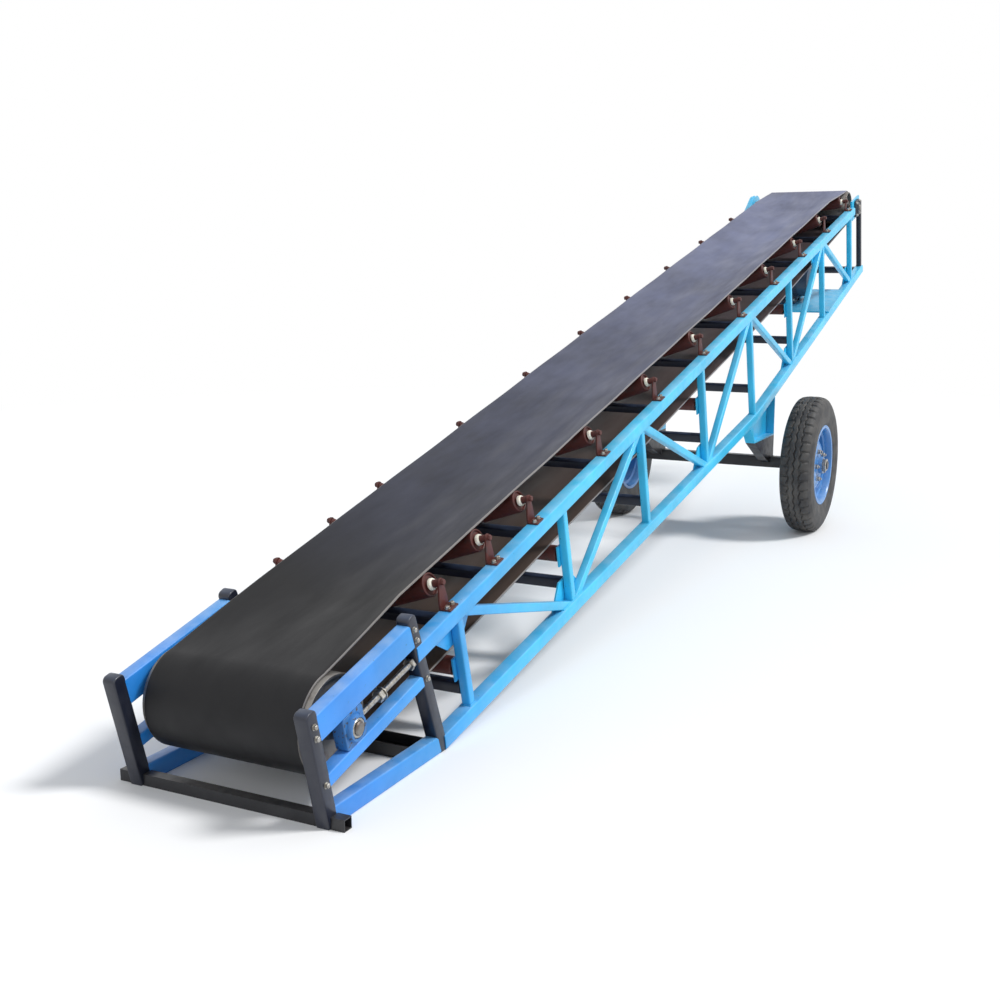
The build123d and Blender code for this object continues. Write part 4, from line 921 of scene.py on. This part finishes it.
def post_outline(top, foot):
    """Post from the floor to a rounded top: its two long lines end where z is 0."""
    top, foot = np.asarray(top, float), np.asarray(foot, float)
    along = (top - foot) / np.linalg.norm(top - foot)
    square = np.array([-along[1], along[0]])
    half, corner = POST / 2, 16.0
    turn = np.linspace(0, math.pi / 2, 6)
    low = []
    for sign in (1, -1):
        p = top + sign * half * square
        z = CHORD_LINE_HEIGHT + p[0] * SIN_I + p[1] * COS_I
        low.append(p - along * z / (along[0] * SIN_I + along[1] * COS_I))
    left = (top + (half - corner) * square - corner * along + corner * (
        np.cos(turn)[:, None] * square + np.sin(turn)[:, None] * along))
    right = (top - (half - corner) * square - corner * along + corner * (
        -np.sin(turn)[:, None] * square + np.cos(turn)[:, None] * along))
    return np.vstack([low[0], left, right, low[1]])


class CONVEYOR_OT_tail_frame(bpy.types.Operator):
    """Posts, rails and floor bars of the tail"""
    bl_idname = "conveyor.tail_frame"
    bl_label = "Tail frame"

    def execute(self, context):
        corner = context.scene.conveyor_sizes.tube_corner / MM
        front_s, second_s = FRONT_POST_TOP[0], SECOND_POST_TOP[0]
        front_foot_n = -(CHORD_LINE_HEIGHT + front_s * SIN_I) / COS_I
        skid_z = SKID_DEPTH / 2
        skid_x = front_s * COS_I - (front_foot_n + skid_z) * SIN_I
        lines = (
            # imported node, piece, its line in the side view, its depth
            ("upper_rails", "tail_upper_rails", [(front_s, UPPER_RAIL_N), (second_s, UPPER_RAIL_N)],
             UPPER_RAIL_DEPTH),
            ("lower_rails", "tail_lower_rails", [(front_s, LOWER_RAIL_N), (LOWER_RAIL_END_S, LOWER_RAIL_N)],
             LOWER_RAIL_DEPTH),
        )
        posts = (
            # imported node, piece, its outline
            ("front_posts", "tail_front_posts", post_outline(FRONT_POST_TOP, (front_s, front_foot_n))),
            ("second_posts", "tail_second_posts",
             post_outline(SECOND_POST_TOP, to_belt(SECOND_POST_FOOT_X, 0.0))),
        )
        for side, sign in SIDES:
            skid = run([to_belt(skid_x, skid_z), to_belt(SECOND_POST_FOOT_X, skid_z)], sign * HALF_TRUSS,
                       SKID_DEPTH, RAIL_WIDTH, corner)
            make_piece(f"skid_rail_{side}", [skid], "frame_blue", f"bottom_rail_{side}")
        for node, name, outline in posts:
            make_piece(name, [plate(outline, sign * HALF_TRUSS - POST / 2, sign * HALF_TRUSS + POST / 2, 5.0)
                              for sign in SIGNS], "post_navy", node)
        for node, name, line, depth in lines:
            make_piece(name, [run(line, sign * HALF_TRUSS, depth, RAIL_WIDTH, corner) for sign in SIGNS],
                       "frame_blue", node)
        bolts = [part for sign in SIGNS
                 for s, n in ((-212, 84), (-212, 48), (291, 84), (295, 48), (-212, -94), (318, -94))
                 for part in bolt((s, sign * (HALF_TRUSS + POST / 2), n), (0, sign, 0), 13.0)]
        make_piece("tail_bolts", bolts, "bright_steel")
        # The tail cross bars take the axle's black as painted shade on their shaded faces
        dress("axle_black", "tail_cross_bars")
        return {"FINISHED"}


def web_lines():
    """Members of one web: (start, end, width), uprights first, then diagonals between the panel points."""
    lines = [((s, 0.0), (s, bottom_n(s)), WEB) for s in PANELS]
    for k in range(7):
        a, b = PANELS[k], PANELS[k + 1]
        ends = ((a, 0.0), (b, bottom_n(b))) if k % 2 == 0 else ((a, bottom_n(a)), (b, 0.0))
        lines.append((*ends, WEB - 0.8))
    return lines


class CONVEYOR_OT_side_frames(bpy.types.Operator):
    """Chords, webs and cross members of the truss"""
    bl_idname = "conveyor.side_frames"
    bl_label = "Side frames"

    def execute(self, context):
        corner = context.scene.conveyor_sizes.tube_corner / MM
        tips = []
        for side, sign in SIDES:
            y = sign * HALF_TRUSS
            upper = run([(SECOND_POST_TOP[0], 0), (HEAD_PLATE_REAR_S, 0)], y, CHORD, CHORD, corner)
            lower = run(BOTTOM_LINE, y, CHORD, CHORD, corner, wall=4.0)
            lattice = [run([a, b], y, WEB, width, WEB_CORNER) for a, b, width in web_lines()]
            make_piece(f"upper_chord_{side}", [upper], "frame_blue", f"top_chord_{side}")
            make_piece(f"lower_chord_{side}", [lower], "frame_blue", f"bottom_chord_{side}")
            make_piece(f"lattice_{side}", lattice, "frame_blue", f"web_{side}")
            tip = [(TIP_S, CHORD / 2), (TIP_S, -HEAD_DEPTH + 20)]
            tips.append(run(tip, y, WEB, WEB, WEB_CORNER, wall=3.0))
        make_piece("tip_uprights", tips, "post_navy", "end_uprights")
        table = (
            # panel point, height above the bottom chord's centre line
            (0, 84.0), (1, 92.0), (2, 120.0), (3, 145.0), (4, 165.0), (5, 150.0), (7, 90.0),
        )
        cross = [cross_run(PANELS[k], bottom_n(PANELS[k]) + h, WEB_FACE, CROSS_DEPTH, WEB, WEB_CORNER)
                 for k, h in table]
        cross.append(cross_run(TRUSS_END_S - 40, bottom_n(TRUSS_END_S), INNER_FACE, CROSS_DEPTH,
                               CROSS_DEPTH, WEB_CORNER))
        make_piece("cross_tubes", cross, "post_navy", "cross_members")
        dress("frame_blue", "gussets", "drive_hangers")
        return {"FINISHED"}


def line_crossing(a, b, c, d):
    """Point where the line a b meets the line c d."""
    (ax, ay), (bx, by), (cx, cy), (dx, dy) = a, b, c, d
    det = (bx - ax) * (dy - cy) - (by - ay) * (dx - cx)
    t = ((cx - ax) * (dy - cy) - (cy - ay) * (dx - cx)) / det
    return np.array([ax + t * (bx - ax), ay + t * (by - ay)])


class CONVEYOR_OT_welds(bpy.types.Operator):
    """Fillet welds where the webs meet the chords"""
    bl_idname = "conveyor.welds"
    bl_label = "Welds"

    def execute(self, context):
        radius = context.scene.conveyor_sizes.weld_radius / MM
        beads = []
        half = CHORD / 2
        for sign in SIGNS:
            for a, b, width in web_lines():
                for end, other in ((a, b), (b, a)):
                    if end[1] == 0.0:
                        slope, out, face = 0.0, np.array([0.0, -1.0]), np.array([0.0, -half])
                    else:
                        middle = (end[0] + other[0]) / 2
                        slope = (bottom_n(middle + 1) - bottom_n(middle - 1)) / 2
                        out = np.array([-slope, 1.0]) / math.hypot(slope, 1)
                        face = np.array([end[0], bottom_n(end[0])]) + half * out
                    along = np.array([1.0, slope]) / math.hypot(1, slope)
                    centre = line_crossing(a, b, face, face + along)
                    axis = np.array(b) - np.array(a)
                    stretch = WEB / 2 * np.linalg.norm(axis) / abs(float(axis @ out))
                    loop = rectangle_loop((centre[0], sign * HALF_TRUSS, centre[1]), (along[0], 0, along[1]),
                                          ACROSS, stretch, width / 2)
                    beads.append(bead(loop, (out[0], 0, out[1]), radius))
        make_piece("truss_welds", beads, "frame_blue")
        return {"FINISHED"}


class CONVEYOR_OT_undercarriage(bpy.types.Operator):
    """Axle with its spindles and nuts, legs and saddles with their welds"""
    bl_idname = "conveyor.undercarriage"
    bl_label = "Undercarriage"

    def execute(self, context):
        radius = context.scene.conveyor_sizes.weld_radius / MM
        half = HALF_TRACK - HUB_HALF - 5
        middle = (AXLE_X, 0, AXLE_Z)
        spindle = [(half - 2, AXLE_DEPTH / 2), (half + 1, 27), (half + 4, SPINDLE_R),
                   (SPINDLE_HALF - 2, SPINDLE_R), (SPINDLE_HALF, SPINDLE_R - 2)]
        nut_r = 37.0
        nut = [(634, 0.9 * nut_r), (636, nut_r), (650, nut_r), (653, 0.86 * nut_r)]
        axle = [cross_run(AXLE_X, AXLE_Z, half, AXLE_DEPTH, AXLE_DEPTH, 5.0)]
        nuts, welds = [], []
        for sign in SIGNS:
            out = (0, sign, 0)
            axle.append(lathe(spindle, middle, out))
            nuts += [lathe(nut, middle, out, 6), lathe([(633.2, 36), (634.4, 36)], middle, out)]
            for dy in (-25.0, 25.0):
                loop = rectangle_loop((AXLE_X, sign * HALF_TRUSS + dy, AXLE_Z + 15), ALONG, UP,
                                      AXLE_DEPTH / 2, AXLE_DEPTH / 4)
                welds.append(bead(loop, ACROSS, radius))
        make_piece("axle_beam", axle, "axle_black", "axle", place=level_place)
        make_piece("spindle_hex_nuts", nuts, "bright_steel", "spindle_nuts", place=level_place)
        make_piece("saddle_welds", welds, "axle_black", place=level_place)
        dress("frame_blue", "leg_right", "leg_left")
        dress("axle_black", "axle_saddles")
        return {"FINISHED"}


def tyre_surface(y_mid, depth, blocks):
    """Tyre from a closed section (y, r) turned about the axle. On the crown the radius falls by the tread
    depth in three zigzag grooves, |y - y0 - a tri(t)| < half width, and in slots across the shoulders."""
    knots = np.array([(62, 203), (72, 214), (82, 246), (88, 290), (84, 320), (76, 342), (66, 357),
                      (54, 364.5), (38, 368), (20, WHEEL_R), (0, WHEEL_R)], float)
    length = np.concatenate([[0], np.cumsum(np.linalg.norm(np.diff(knots, axis=0), axis=1))])
    fine = np.concatenate([np.linspace(0, length[5], 26), np.linspace(length[5], length[-1], 40)[1:]])
    half = np.stack([np.interp(fine, length, knots[:, i]) for i in (0, 1)], -1)
    # A running mean with triangle weights rounds the corners at the knots
    kernel = np.array([1, 2, 3, 2, 1]) / 9
    padded = np.pad(half, ((2, 2), (0, 0)), "edge")
    padded[-2:, 0] = -padded[-4:-2, 0][::-1]
    half = np.stack([np.convolve(padded[:, i], kernel, "valid") for i in (0, 1)], -1)
    # Raised rings on the sidewall
    for ring_r in (236.0, 268.0, 322.0):
        half[:, 0] += 1.6 * np.exp(-((half[:, 1] - ring_r) / 3.5) ** 2) * (half[:, 0] > 60)
    section = np.concatenate([half, (half * (-1, 1))[::-1][1:]])
    inside = np.array([(-62, 203), (-40, 206), (0, 207), (40, 206)], float)
    section = np.concatenate([section, inside[1:]])
    steps = blocks * 10
    turn = FULL_TURN * np.arange(steps) / steps
    y, r = section[:, :1], section[:, 1:]
    phase = turn * blocks / FULL_TURN
    zigzag = np.abs((phase % 1.0) * 2 - 1) * 2 - 1
    swing, flank = 4.5, 1.2
    middle_half, outer_half, slot_half = 3.2, 3.4, 3.6

    def groove(distance, half_width):
        return np.clip((half_width - distance) / flank + 0.5, 0, 1)
    cut = groove(np.abs(y - swing * zigzag), middle_half)
    for middle in (-30.0, 30.0):
        cut = np.maximum(cut, groove(np.abs(y - middle - swing * zigzag * np.sign(middle)), outer_half))
    across = np.abs(((phase + 0.25 * np.sign(y)) % 1.0) - 0.5) * FULL_TURN * WHEEL_R / blocks
    cut = np.maximum(cut, groove(across, slot_half) * (np.abs(y) > 33) * (np.abs(y) < 74))
    crown = np.clip((r - 345) / 8, 0, 1)
    radius = r - depth * cut * crown
    points = np.stack([AXLE_X + radius * np.cos(turn), y_mid + y + 0 * radius,
                       AXLE_Z + radius * np.sin(turn)], -1)
    return surface(points, path_closed=True)


def holed_disc(y_of_r, inner_r, outer_r, holes, hole_r, pitch_r):
    """Disc with round holes, as one sector per hole: a point is hole edge + v (sector border - hole edge),
    where v is a share to the power 1.4, so that rings lie closer at the hole. Its height follows its
    radius, and the border is a rectangle in (turn, radius)."""
    steps, rows = 48, 9
    u = np.arange(steps) / steps * 4
    leg, share = u.astype(int), u % 1.0
    half = math.pi / holes
    border_t = half * np.select([leg == 0, leg == 1, leg == 2],
                                [2 * share - 1, 1 + 0 * share, 1 - 2 * share], -1)
    border_r = np.select([leg == 0, leg == 1, leg == 2],
                         [inner_r + 0 * share, inner_r + share * (outer_r - inner_r), outer_r + 0 * share],
                         outer_r - share * (outer_r - inner_r))
    bx, bz = border_r * np.cos(border_t), border_r * np.sin(border_t)
    bearing = np.arctan2(bz, bx - pitch_r)
    hx, hz = pitch_r + hole_r * np.cos(bearing), hole_r * np.sin(bearing)
    v = np.linspace(0, 1, rows)[:, None] ** 1.4
    x, z = hx + v * (bx - hx), hz + v * (bz - hz)
    turns = FULL_TURN * np.arange(holes)[:, None, None] / holes
    px, pz = x * np.cos(turns) - z * np.sin(turns), x * np.sin(turns) + z * np.cos(turns)
    points = np.stack([px, y_of_r(np.hypot(px, pz)), pz], -1).reshape(-1, 3)
    index = np.arange(holes * rows * steps).reshape(holes, rows, steps)
    index = np.concatenate([index, index[:, :, :1]], axis=2)
    quads = np.stack([index[:, :-1, :-1], index[:, :-1, 1:], index[:, 1:, 1:], index[:, 1:, :-1]], -1)
    unique, back = np.unique(np.round(points, 3), axis=0, return_inverse=True)
    return unique, back.reshape(-1)[quads.reshape(-1, 4)], []


class CONVEYOR_OT_wheels(bpy.types.Operator):
    """Tyres with their tread, pressed rims with hand holes, wheel nuts and hubs"""
    bl_idname = "conveyor.wheels"
    bl_label = "Wheels"

    def execute(self, context):
        sizes = context.scene.conveyor_sizes
        rim_section = [(-76, 216), (-74, 218), (-71, 216), (-69, 205), (-64, 203), (-38, 200), (-30, 188),
                       (30, 188), (38, 200), (64, 203), (69, 205), (71, 216), (74, 218), (76, 216), (75, 202),
                       (66, 196), (40, 193), (33, 182), (-33, 182), (-40, 193), (-66, 196), (-75, 202)]
        hub = [(-75, 25), (-75, 44), (-71, 48), (30, 50), (38, 66), (46, 68), (50, 58), (56, 47), (75, 43),
               (75, 25)]
        for side, sign in SIDES:
            ride = {"body": f"wheel_{side}", "place": level_place}
            y_mid, out = sign * HALF_TRACK, (0, sign, 0)
            centre = (AXLE_X, y_mid, AXLE_Z)
            tyre = tyre_surface(y_mid, sizes.tread_depth / MM, sizes.tread_blocks)
            make_piece(f"treaded_tyre_{side}", [tyre], "tyre_rubber", f"tyre_{side}", sharp=50, **ride)
            rim = [lathe(rim_section, centre, out, 72, closed=True), lathe(hub, centre, out, 48, closed=True)]
            make_piece(f"pressed_rim_{side}", rim, "rim_blue", f"rim_{side}", **ride)

            def dish(r):
                """Depth of the pressed disc: flat at the hub, then falling to the well as a cosine."""
                share = np.clip((r - DISC_FLAT_R) / (DISC_OUTER_R - DISC_FLAT_R), 0, 1)
                return sign * (DISH_Y - DISH_DEPTH * (1 - np.cos(math.pi * share)) / 2)
            flat, quads, caps = holed_disc(dish, DISC_INNER_R, DISC_OUTER_R, HOLES, HOLE_R, HOLE_CIRCLE_R)
            quads = quads if sign > 0 else quads[:, ::-1]
            disc = make_piece(f"rim_disc_{side}", [(flat + centre, quads, caps)], "rim_blue", **ride)
            wall = disc.modifiers.new("wall", "SOLIDIFY")
            wall.thickness = 6 * MM
            wall.offset = 0.0
            nuts = []
            for turn in FULL_TURN * (np.arange(STUDS) + 0.5) / STUDS:
                seat = (AXLE_X + STUD_CIRCLE_R * math.cos(turn), y_mid + sign * NUT_SEAT_Y,
                        AXLE_Z + STUD_CIRCLE_R * math.sin(turn))
                nuts += [lathe([(0, 14), (3, 13), (14, 13), (17, 10)], seat, out, 6),
                         lathe([(10, 7), (24, 7), (25, 6)], seat, out, 12)]
            valve = (AXLE_X + VALVE_R, y_mid + sign * VALVE_Y, AXLE_Z)
            nuts.append(lathe([(0, 5), (24, 4), (24, 5.5), (34, 5.5), (36, 4)], valve, (-0.35, sign, 0), 12))
            make_piece(f"wheel_nuts_{side}", nuts, "bright_steel", **ride)
        return {"FINISHED"}


class CONVEYOR_OT_motor(bpy.types.Operator):
    """Finned motor with its fan cowl, terminal box and feet"""
    bl_idname = "conveyor.motor"
    bl_label = "Motor"

    def execute(self, context):
        # Body: six points to a fin, two of them out on its tip
        points = 6 * context.scene.conveyor_sizes.motor_fins
        index = np.arange(points)
        turn = FULL_TURN * index / points
        radius = np.where(np.isin(index % 6, (0, 1)), MOTOR_R, MOTOR_R - 12)
        ring = np.stack([radius * np.cos(turn), radius * np.sin(turn)], -1)
        near, far = (0, MOTOR_Y - MOTOR_HALF, MOTOR_N), (0, MOTOR_Y + MOTOR_HALF, MOTOR_N)
        ends = [(0, near[1] + 16, MOTOR_N), (0, far[1] - 16, MOTOR_N)]
        bell = [(0, 60), (0, 92), (4, 96), (18, 96), (18, 60)]
        cowl = [(-60, 20), (-60, 84), (-55, 93), (-4, 96), (4, 96), (4, 20)]
        box_n = MOTOR_N + MOTOR_R + 15
        boxes = (
            # height of the middle, size, rounding: feet, cradle, terminal box, its lid
            (PLATE_TOP + 10, (180, 150, 20), 4), (PLATE_TOP + 20, (90, 150, 40), 4),
            (box_n, (110, 90, 70), 6), (box_n + 31, (112, 92, 8), 3),
        )
        chunks = [carried(ring, ends, [ALONG] * 2, [UP] * 2),
                  lathe(bell, near, ACROSS, 48, closed=True),
                  lathe(bell, far, (0, -1, 0), 48, closed=True),
                  lathe(cowl, near, ACROSS, 48, closed=True),
                  lathe([(0, 15), (14, 15), (16, 12), (26, 12)], (-55, MOTOR_Y, box_n + 7), (-1, 0, 0), 16)]
        chunks += [block((0, MOTOR_Y, b), size, edge) for b, size, edge in boxes]
        # Rings of the fan grille
        chunks += [lathe([(-60.4, r), (-60.4, r + 6), (-58, r + 6), (-58, r)], near, ACROSS, 40, closed=True)
                   for r in (30.0, 44.0, 58.0, 72.0)]
        make_piece("finned_motor", chunks, "motor_slate", "motor", place=drive_place)
        feet = bolt_grid((0, MOTOR_Y, PLATE_TOP + 20), (-76, 76), (-58, 58), UP, 19.0)
        lid = bolt_grid((0, MOTOR_Y, box_n + 35), (-46, 46), (-36, 36), UP, 8.0)
        make_piece("motor_bolts", feet + lid, "bright_steel", place=drive_place)
        return {"FINISHED"}


class CONVEYOR_OT_gearbox(bpy.types.Operator):
    """Ribbed gearbox in two halves, its foot, covers and bolts"""
    bl_idname = "conveyor.gearbox"
    bl_label = "Gearbox"

    def execute(self, context):
        y, foot_top = GEARBOX_Y, PLATE_TOP + 24
        boxes = (
            # height of the middle, size, rounding: body, foot, joint flange, cover
            (PLATE_TOP + 150, (232, 142, 292), 12), (PLATE_TOP + 12, (290, 150, 24), 5),
            (OUTPUT_N, (264, 150, 14), 4), (GEARBOX_TOP - 5, (150, 96, 10), 4),
        )
        body = [block((0, y, b), size, edge) for b, size, edge in boxes]
        for sign in SIGNS:
            body += [block((a, y + sign * 71, PLATE_TOP + 110), (8, 8, 150), 2)
                     for a in (-96, -48, 0, 48, 96)]
            body += [block((sign * 116, y + dy, PLATE_TOP + 105), (8, 8, 140), 2)
                     for dy in (-50, -17, 17, 50)]
        boss = [(0, 20.5), (0, 62), (10, 62), (13, 56), (16, 50), (16, 20.5)]
        body.append(lathe(boss, (0, y + 75, OUTPUT_N), ACROSS, 48, closed=True))
        make_piece("ribbed_gearbox", body, "motor_slate", "gearbox", place=drive_place)
        bolts = (bolt_grid((0, y, foot_top), (-128, 128), (-55, 55), UP, 17.0)
                 + bolt_grid((0, y, OUTPUT_N + 7), (-125, 125), (-55, 0, 55), UP, 10.0)
                 + bolt_grid((0, y, GEARBOX_TOP), (-64, 64), (-38, 38), UP, 8.0))
        for turn in FULL_TURN * np.arange(6) / 6:
            bolts += bolt((50 * math.cos(turn), y + 86, OUTPUT_N + 50 * math.sin(turn)), ACROSS, 9.0)
        bolts.append(lathe([(0, 9), (8, 9), (12, 6)], (-30, y, GEARBOX_TOP), UP, 16))
        make_piece("gearbox_bolts", bolts, "bright_steel", place=drive_place)
        dress("frame_blue", "motor_plate")
        dress("bright_steel", "output_shaft")
        return {"FINISHED"}


class CONVEYOR_OT_chain_guard(bpy.types.Operator):
    """Closed guard of the chain from the gearbox to the head drum"""
    bl_idname = "conveyor.chain_guard"
    bl_label = "Chain guard"

    def execute(self, context):
        low = np.array([DRIVE_S - OUTPUT_N * math.sin(DRIVE_TILT),
                        bottom_n(DRIVE_S) + OUTPUT_N * math.cos(DRIVE_TILT)])
        high = np.array(HEAD_DRUM[:2])
        rise = high - low
        bearing = math.atan2(rise[1], rise[0])
        lean = math.asin((GUARD_HIGH_R - GUARD_LOW_R) / math.hypot(*rise))

        def outline(inset):
            """Two arcs joined by their outer tangents, which lean by asin((R - r) / length)."""
            quarter = math.pi / 2 + lean
            arcs = ((high, GUARD_HIGH_R, np.linspace(-quarter, quarter, 30)),
                    (low, GUARD_LOW_R, np.linspace(quarter, FULL_TURN - quarter, 30)))
            return np.vstack([end + (r - inset) * np.stack([np.cos(bearing + t), np.sin(bearing + t)], -1)
                              for end, r, t in arcs])
        layers = (
            # inset, inner face, outer face, rounding: back wall, case, seam flange, cover
            (0.0, GUARD_INNER, GUARD_INNER + 3, 1.0), (5.0, GUARD_INNER + 2, GUARD_OUTER - 3, 2.0),
            (0.0, GUARD_INNER + 20, GUARD_INNER + 24, 1.0), (12.0, GUARD_OUTER - 6, GUARD_OUTER - 0.5, 2.0),
        )
        chunks = [plate(outline(inset), inner, outer, edge) for inset, inner, outer, edge in layers]
        chunks += [lathe([(0, 34), (2.5, 33), (3.3, 26)], (s, GUARD_OUTER - 4, n)) for s, n in (low, high)]
        bolts = []
        bolt_inset, stay = 16.0, 36.0
        for share in (0.25, 0.5, 0.75):
            r = GUARD_LOW_R + share * (GUARD_HIGH_R - GUARD_LOW_R) - bolt_inset
            for sign in SIGNS:
                s, n = low + share * rise + sign * r * np.array([-math.sin(bearing), math.cos(bearing)])
                bolts += bolt((s, GUARD_OUTER - 7, n), ACROSS, 9.0)
        # Stays to the last diagonal, where it crosses the guard's line, and to the top chord
        last = (PANELS[6], 0.0), (PANELS[7], bottom_n(PANELS[7]))
        stays = ((*line_crossing(*last, low, high), HALF_TRUSS + WEB / 2),
                 (HEAD_PLATE_REAR_S - stay, 0.0, HALF_TRUSS + CHORD / 2))
        chunks += [block((s, (GUARD_INNER + y) / 2, n), (stay, GUARD_INNER - y, stay), 3)
                   for s, n, y in stays]
        make_piece("chain_case", chunks, "frame_blue", "chain_guard")
        make_piece("chain_case_bolts", bolts, "bright_steel")
        return {"FINISHED"}


def facing(toward):
    """Euler angles that turn a lamp's -Z away from the direction its light comes from."""
    x, y, z = toward
    return (math.atan2(math.hypot(x, y), z), 0.0, math.atan2(y, x) + math.pi / 2)


def seen_rays(tree):
    """1 for camera, glossy and transmission rays, which see the white background."""
    path = add_node(tree, "ShaderNodeLightPath").outputs
    seen = path["Is Camera Ray"]
    for name in ("Is Glossy Ray", "Is Transmission Ray"):
        seen = add_node(tree, "ShaderNodeMath", {"operation": "MAXIMUM"}, {0: seen, 1: path[name]}).outputs[0]
    return seen


class CONVEYOR_OT_stage(bpy.types.Operator):
    """Pale floor, soft light and the camera at the photograph's angle"""
    bl_idname = "conveyor.stage"
    bl_label = "Stage"

    def execute(self, context):
        scene = context.scene
        mesh = bpy.data.meshes.new("floor")
        corners = 60.0 * np.array([(-1, -1, 0), (1, -1, 0), (1, 1, 0), (-1, 1, 0)])
        mesh.from_pydata(corners.tolist(), [], [(0, 1, 2, 3)])
        linked("floor", mesh)
        # The floor takes a shadow near the machine, and is plain white from 9 m out
        material = bpy.data.materials.new("pale_floor")
        tree = empty_tree(material)
        place = add_node(tree, "ShaderNodeTexCoord").outputs["Object"]
        far = add_node(tree, "ShaderNodeVectorMath", {"operation": "LENGTH"}, {0: place}).outputs["Value"]
        share = add_node(tree, "ShaderNodeMapRange", {"From Min": 3.5, "From Max": 9.0}, {"Value": far})
        blend = add_node(tree, "ShaderNodeMath", {"operation": "MULTIPLY"},
                         {0: share.outputs["Result"], 1: seen_rays(tree)}).outputs[0]
        lit = add_node(tree, "ShaderNodeBsdfPrincipled", {"Base Color": (0.9, 0.9, 0.9, 1), "Roughness": 0.9,
                                                          "Specular IOR Level": 0.1})
        white = add_node(tree, "ShaderNodeEmission", {"Color": (1, 1, 1, 1), "Strength": 1.0})
        both = add_node(tree, "ShaderNodeMixShader", None,
                        {0: blend, 1: lit.outputs["BSDF"], 2: white.outputs["Emission"]})
        add_node(tree, "ShaderNodeOutputMaterial", None, {"Surface": both.outputs["Shader"]})
        mesh.materials.append(material)

        world = bpy.data.worlds.new("soft_white")
        scene.world = world
        tree = empty_tree(world)
        soft = add_node(tree, "ShaderNodeBackground", {"Color": (0.93, 0.96, 1.0, 1), "Strength": 0.62})
        clear = add_node(tree, "ShaderNodeBackground", {"Color": (1, 1, 1, 1), "Strength": 1.0})
        both = add_node(tree, "ShaderNodeMixShader", None,
                        {0: seen_rays(tree), 1: soft.outputs[0], 2: clear.outputs[0]})
        add_node(tree, "ShaderNodeOutputWorld", None, {"Surface": both.outputs["Shader"]})

        lamps = (
            # name, direction that the light comes from, strength, angle in degrees
            ("key", (0.30, -0.95, 1.15), 2.3, 14.0),
            ("fill", (-0.9, -0.2, 0.5), 0.35, 40.0),
        )
        for name, toward, strength, angle in lamps:
            lamp = bpy.data.lights.new(name, "SUN")
            lamp.energy = strength
            lamp.angle = math.radians(angle)
            linked(name, lamp).rotation_euler = facing(toward)

        camera = bpy.data.cameras.new("photo_camera")
        camera.lens = CAMERA_LENS
        camera.sensor_width = 36.0
        camera.sensor_fit = "HORIZONTAL"
        camera.shift_x, camera.shift_y = CAMERA_SHIFT
        camera.clip_end = 200.0
        seat = linked("photo_camera", camera)
        seat.location = (CAMERA_PLACE[0] + OFFSET_X * MM, *CAMERA_PLACE[1:])
        seat.rotation_euler = [math.radians(angle) for angle in CAMERA_TURN]
        scene.camera = seat
        scene.view_settings.view_transform = "Standard"
        return {"FINISHED"}


OPERATORS = (CONVEYOR_OT_belt, CONVEYOR_OT_rollers, CONVEYOR_OT_idler_frames, CONVEYOR_OT_drums,
             CONVEYOR_OT_take_up, CONVEYOR_OT_tail_frame, CONVEYOR_OT_side_frames, CONVEYOR_OT_welds,
             CONVEYOR_OT_undercarriage, CONVEYOR_OT_wheels, CONVEYOR_OT_motor, CONVEYOR_OT_gearbox,
             CONVEYOR_OT_chain_guard, CONVEYOR_OT_stage)


class CONVEYOR_PT_panel(bpy.types.Panel):
    """Sizes, colours and pieces of the conveyor"""
    bl_idname = "CONVEYOR_PT_panel"
    bl_label = "Conveyor"
    bl_space_type = "VIEW_3D"
    bl_region_type = "UI"
    bl_category = "Conveyor"

    def draw(self, context):
        for group in (context.scene.conveyor_sizes, context.scene.conveyor_colours):
            for name in group.__annotations__:
                self.layout.prop(group, name)
        for operator in OPERATORS:
            self.layout.operator(operator.bl_idname)


CLASSES = (ConveyorSizes, ConveyorColours) + OPERATORS + (CONVEYOR_PT_panel,)


def register():
    for item in CLASSES:
        bpy.utils.register_class(item)
    bpy.types.Scene.conveyor_sizes = bpy.props.PointerProperty(type=ConveyorSizes)
    bpy.types.Scene.conveyor_colours = bpy.props.PointerProperty(type=ConveyorColours)


def unregister():
    del bpy.types.Scene.conveyor_colours
    del bpy.types.Scene.conveyor_sizes
    for item in reversed(CLASSES):
        bpy.utils.unregister_class(item)


def main():
    """Makes every piece in order."""
    register()
    for operator in OPERATORS:
        group, name = operator.bl_idname.split(".")
        getattr(getattr(bpy.ops, group), name)()


if __name__ == "__main__":
    main()
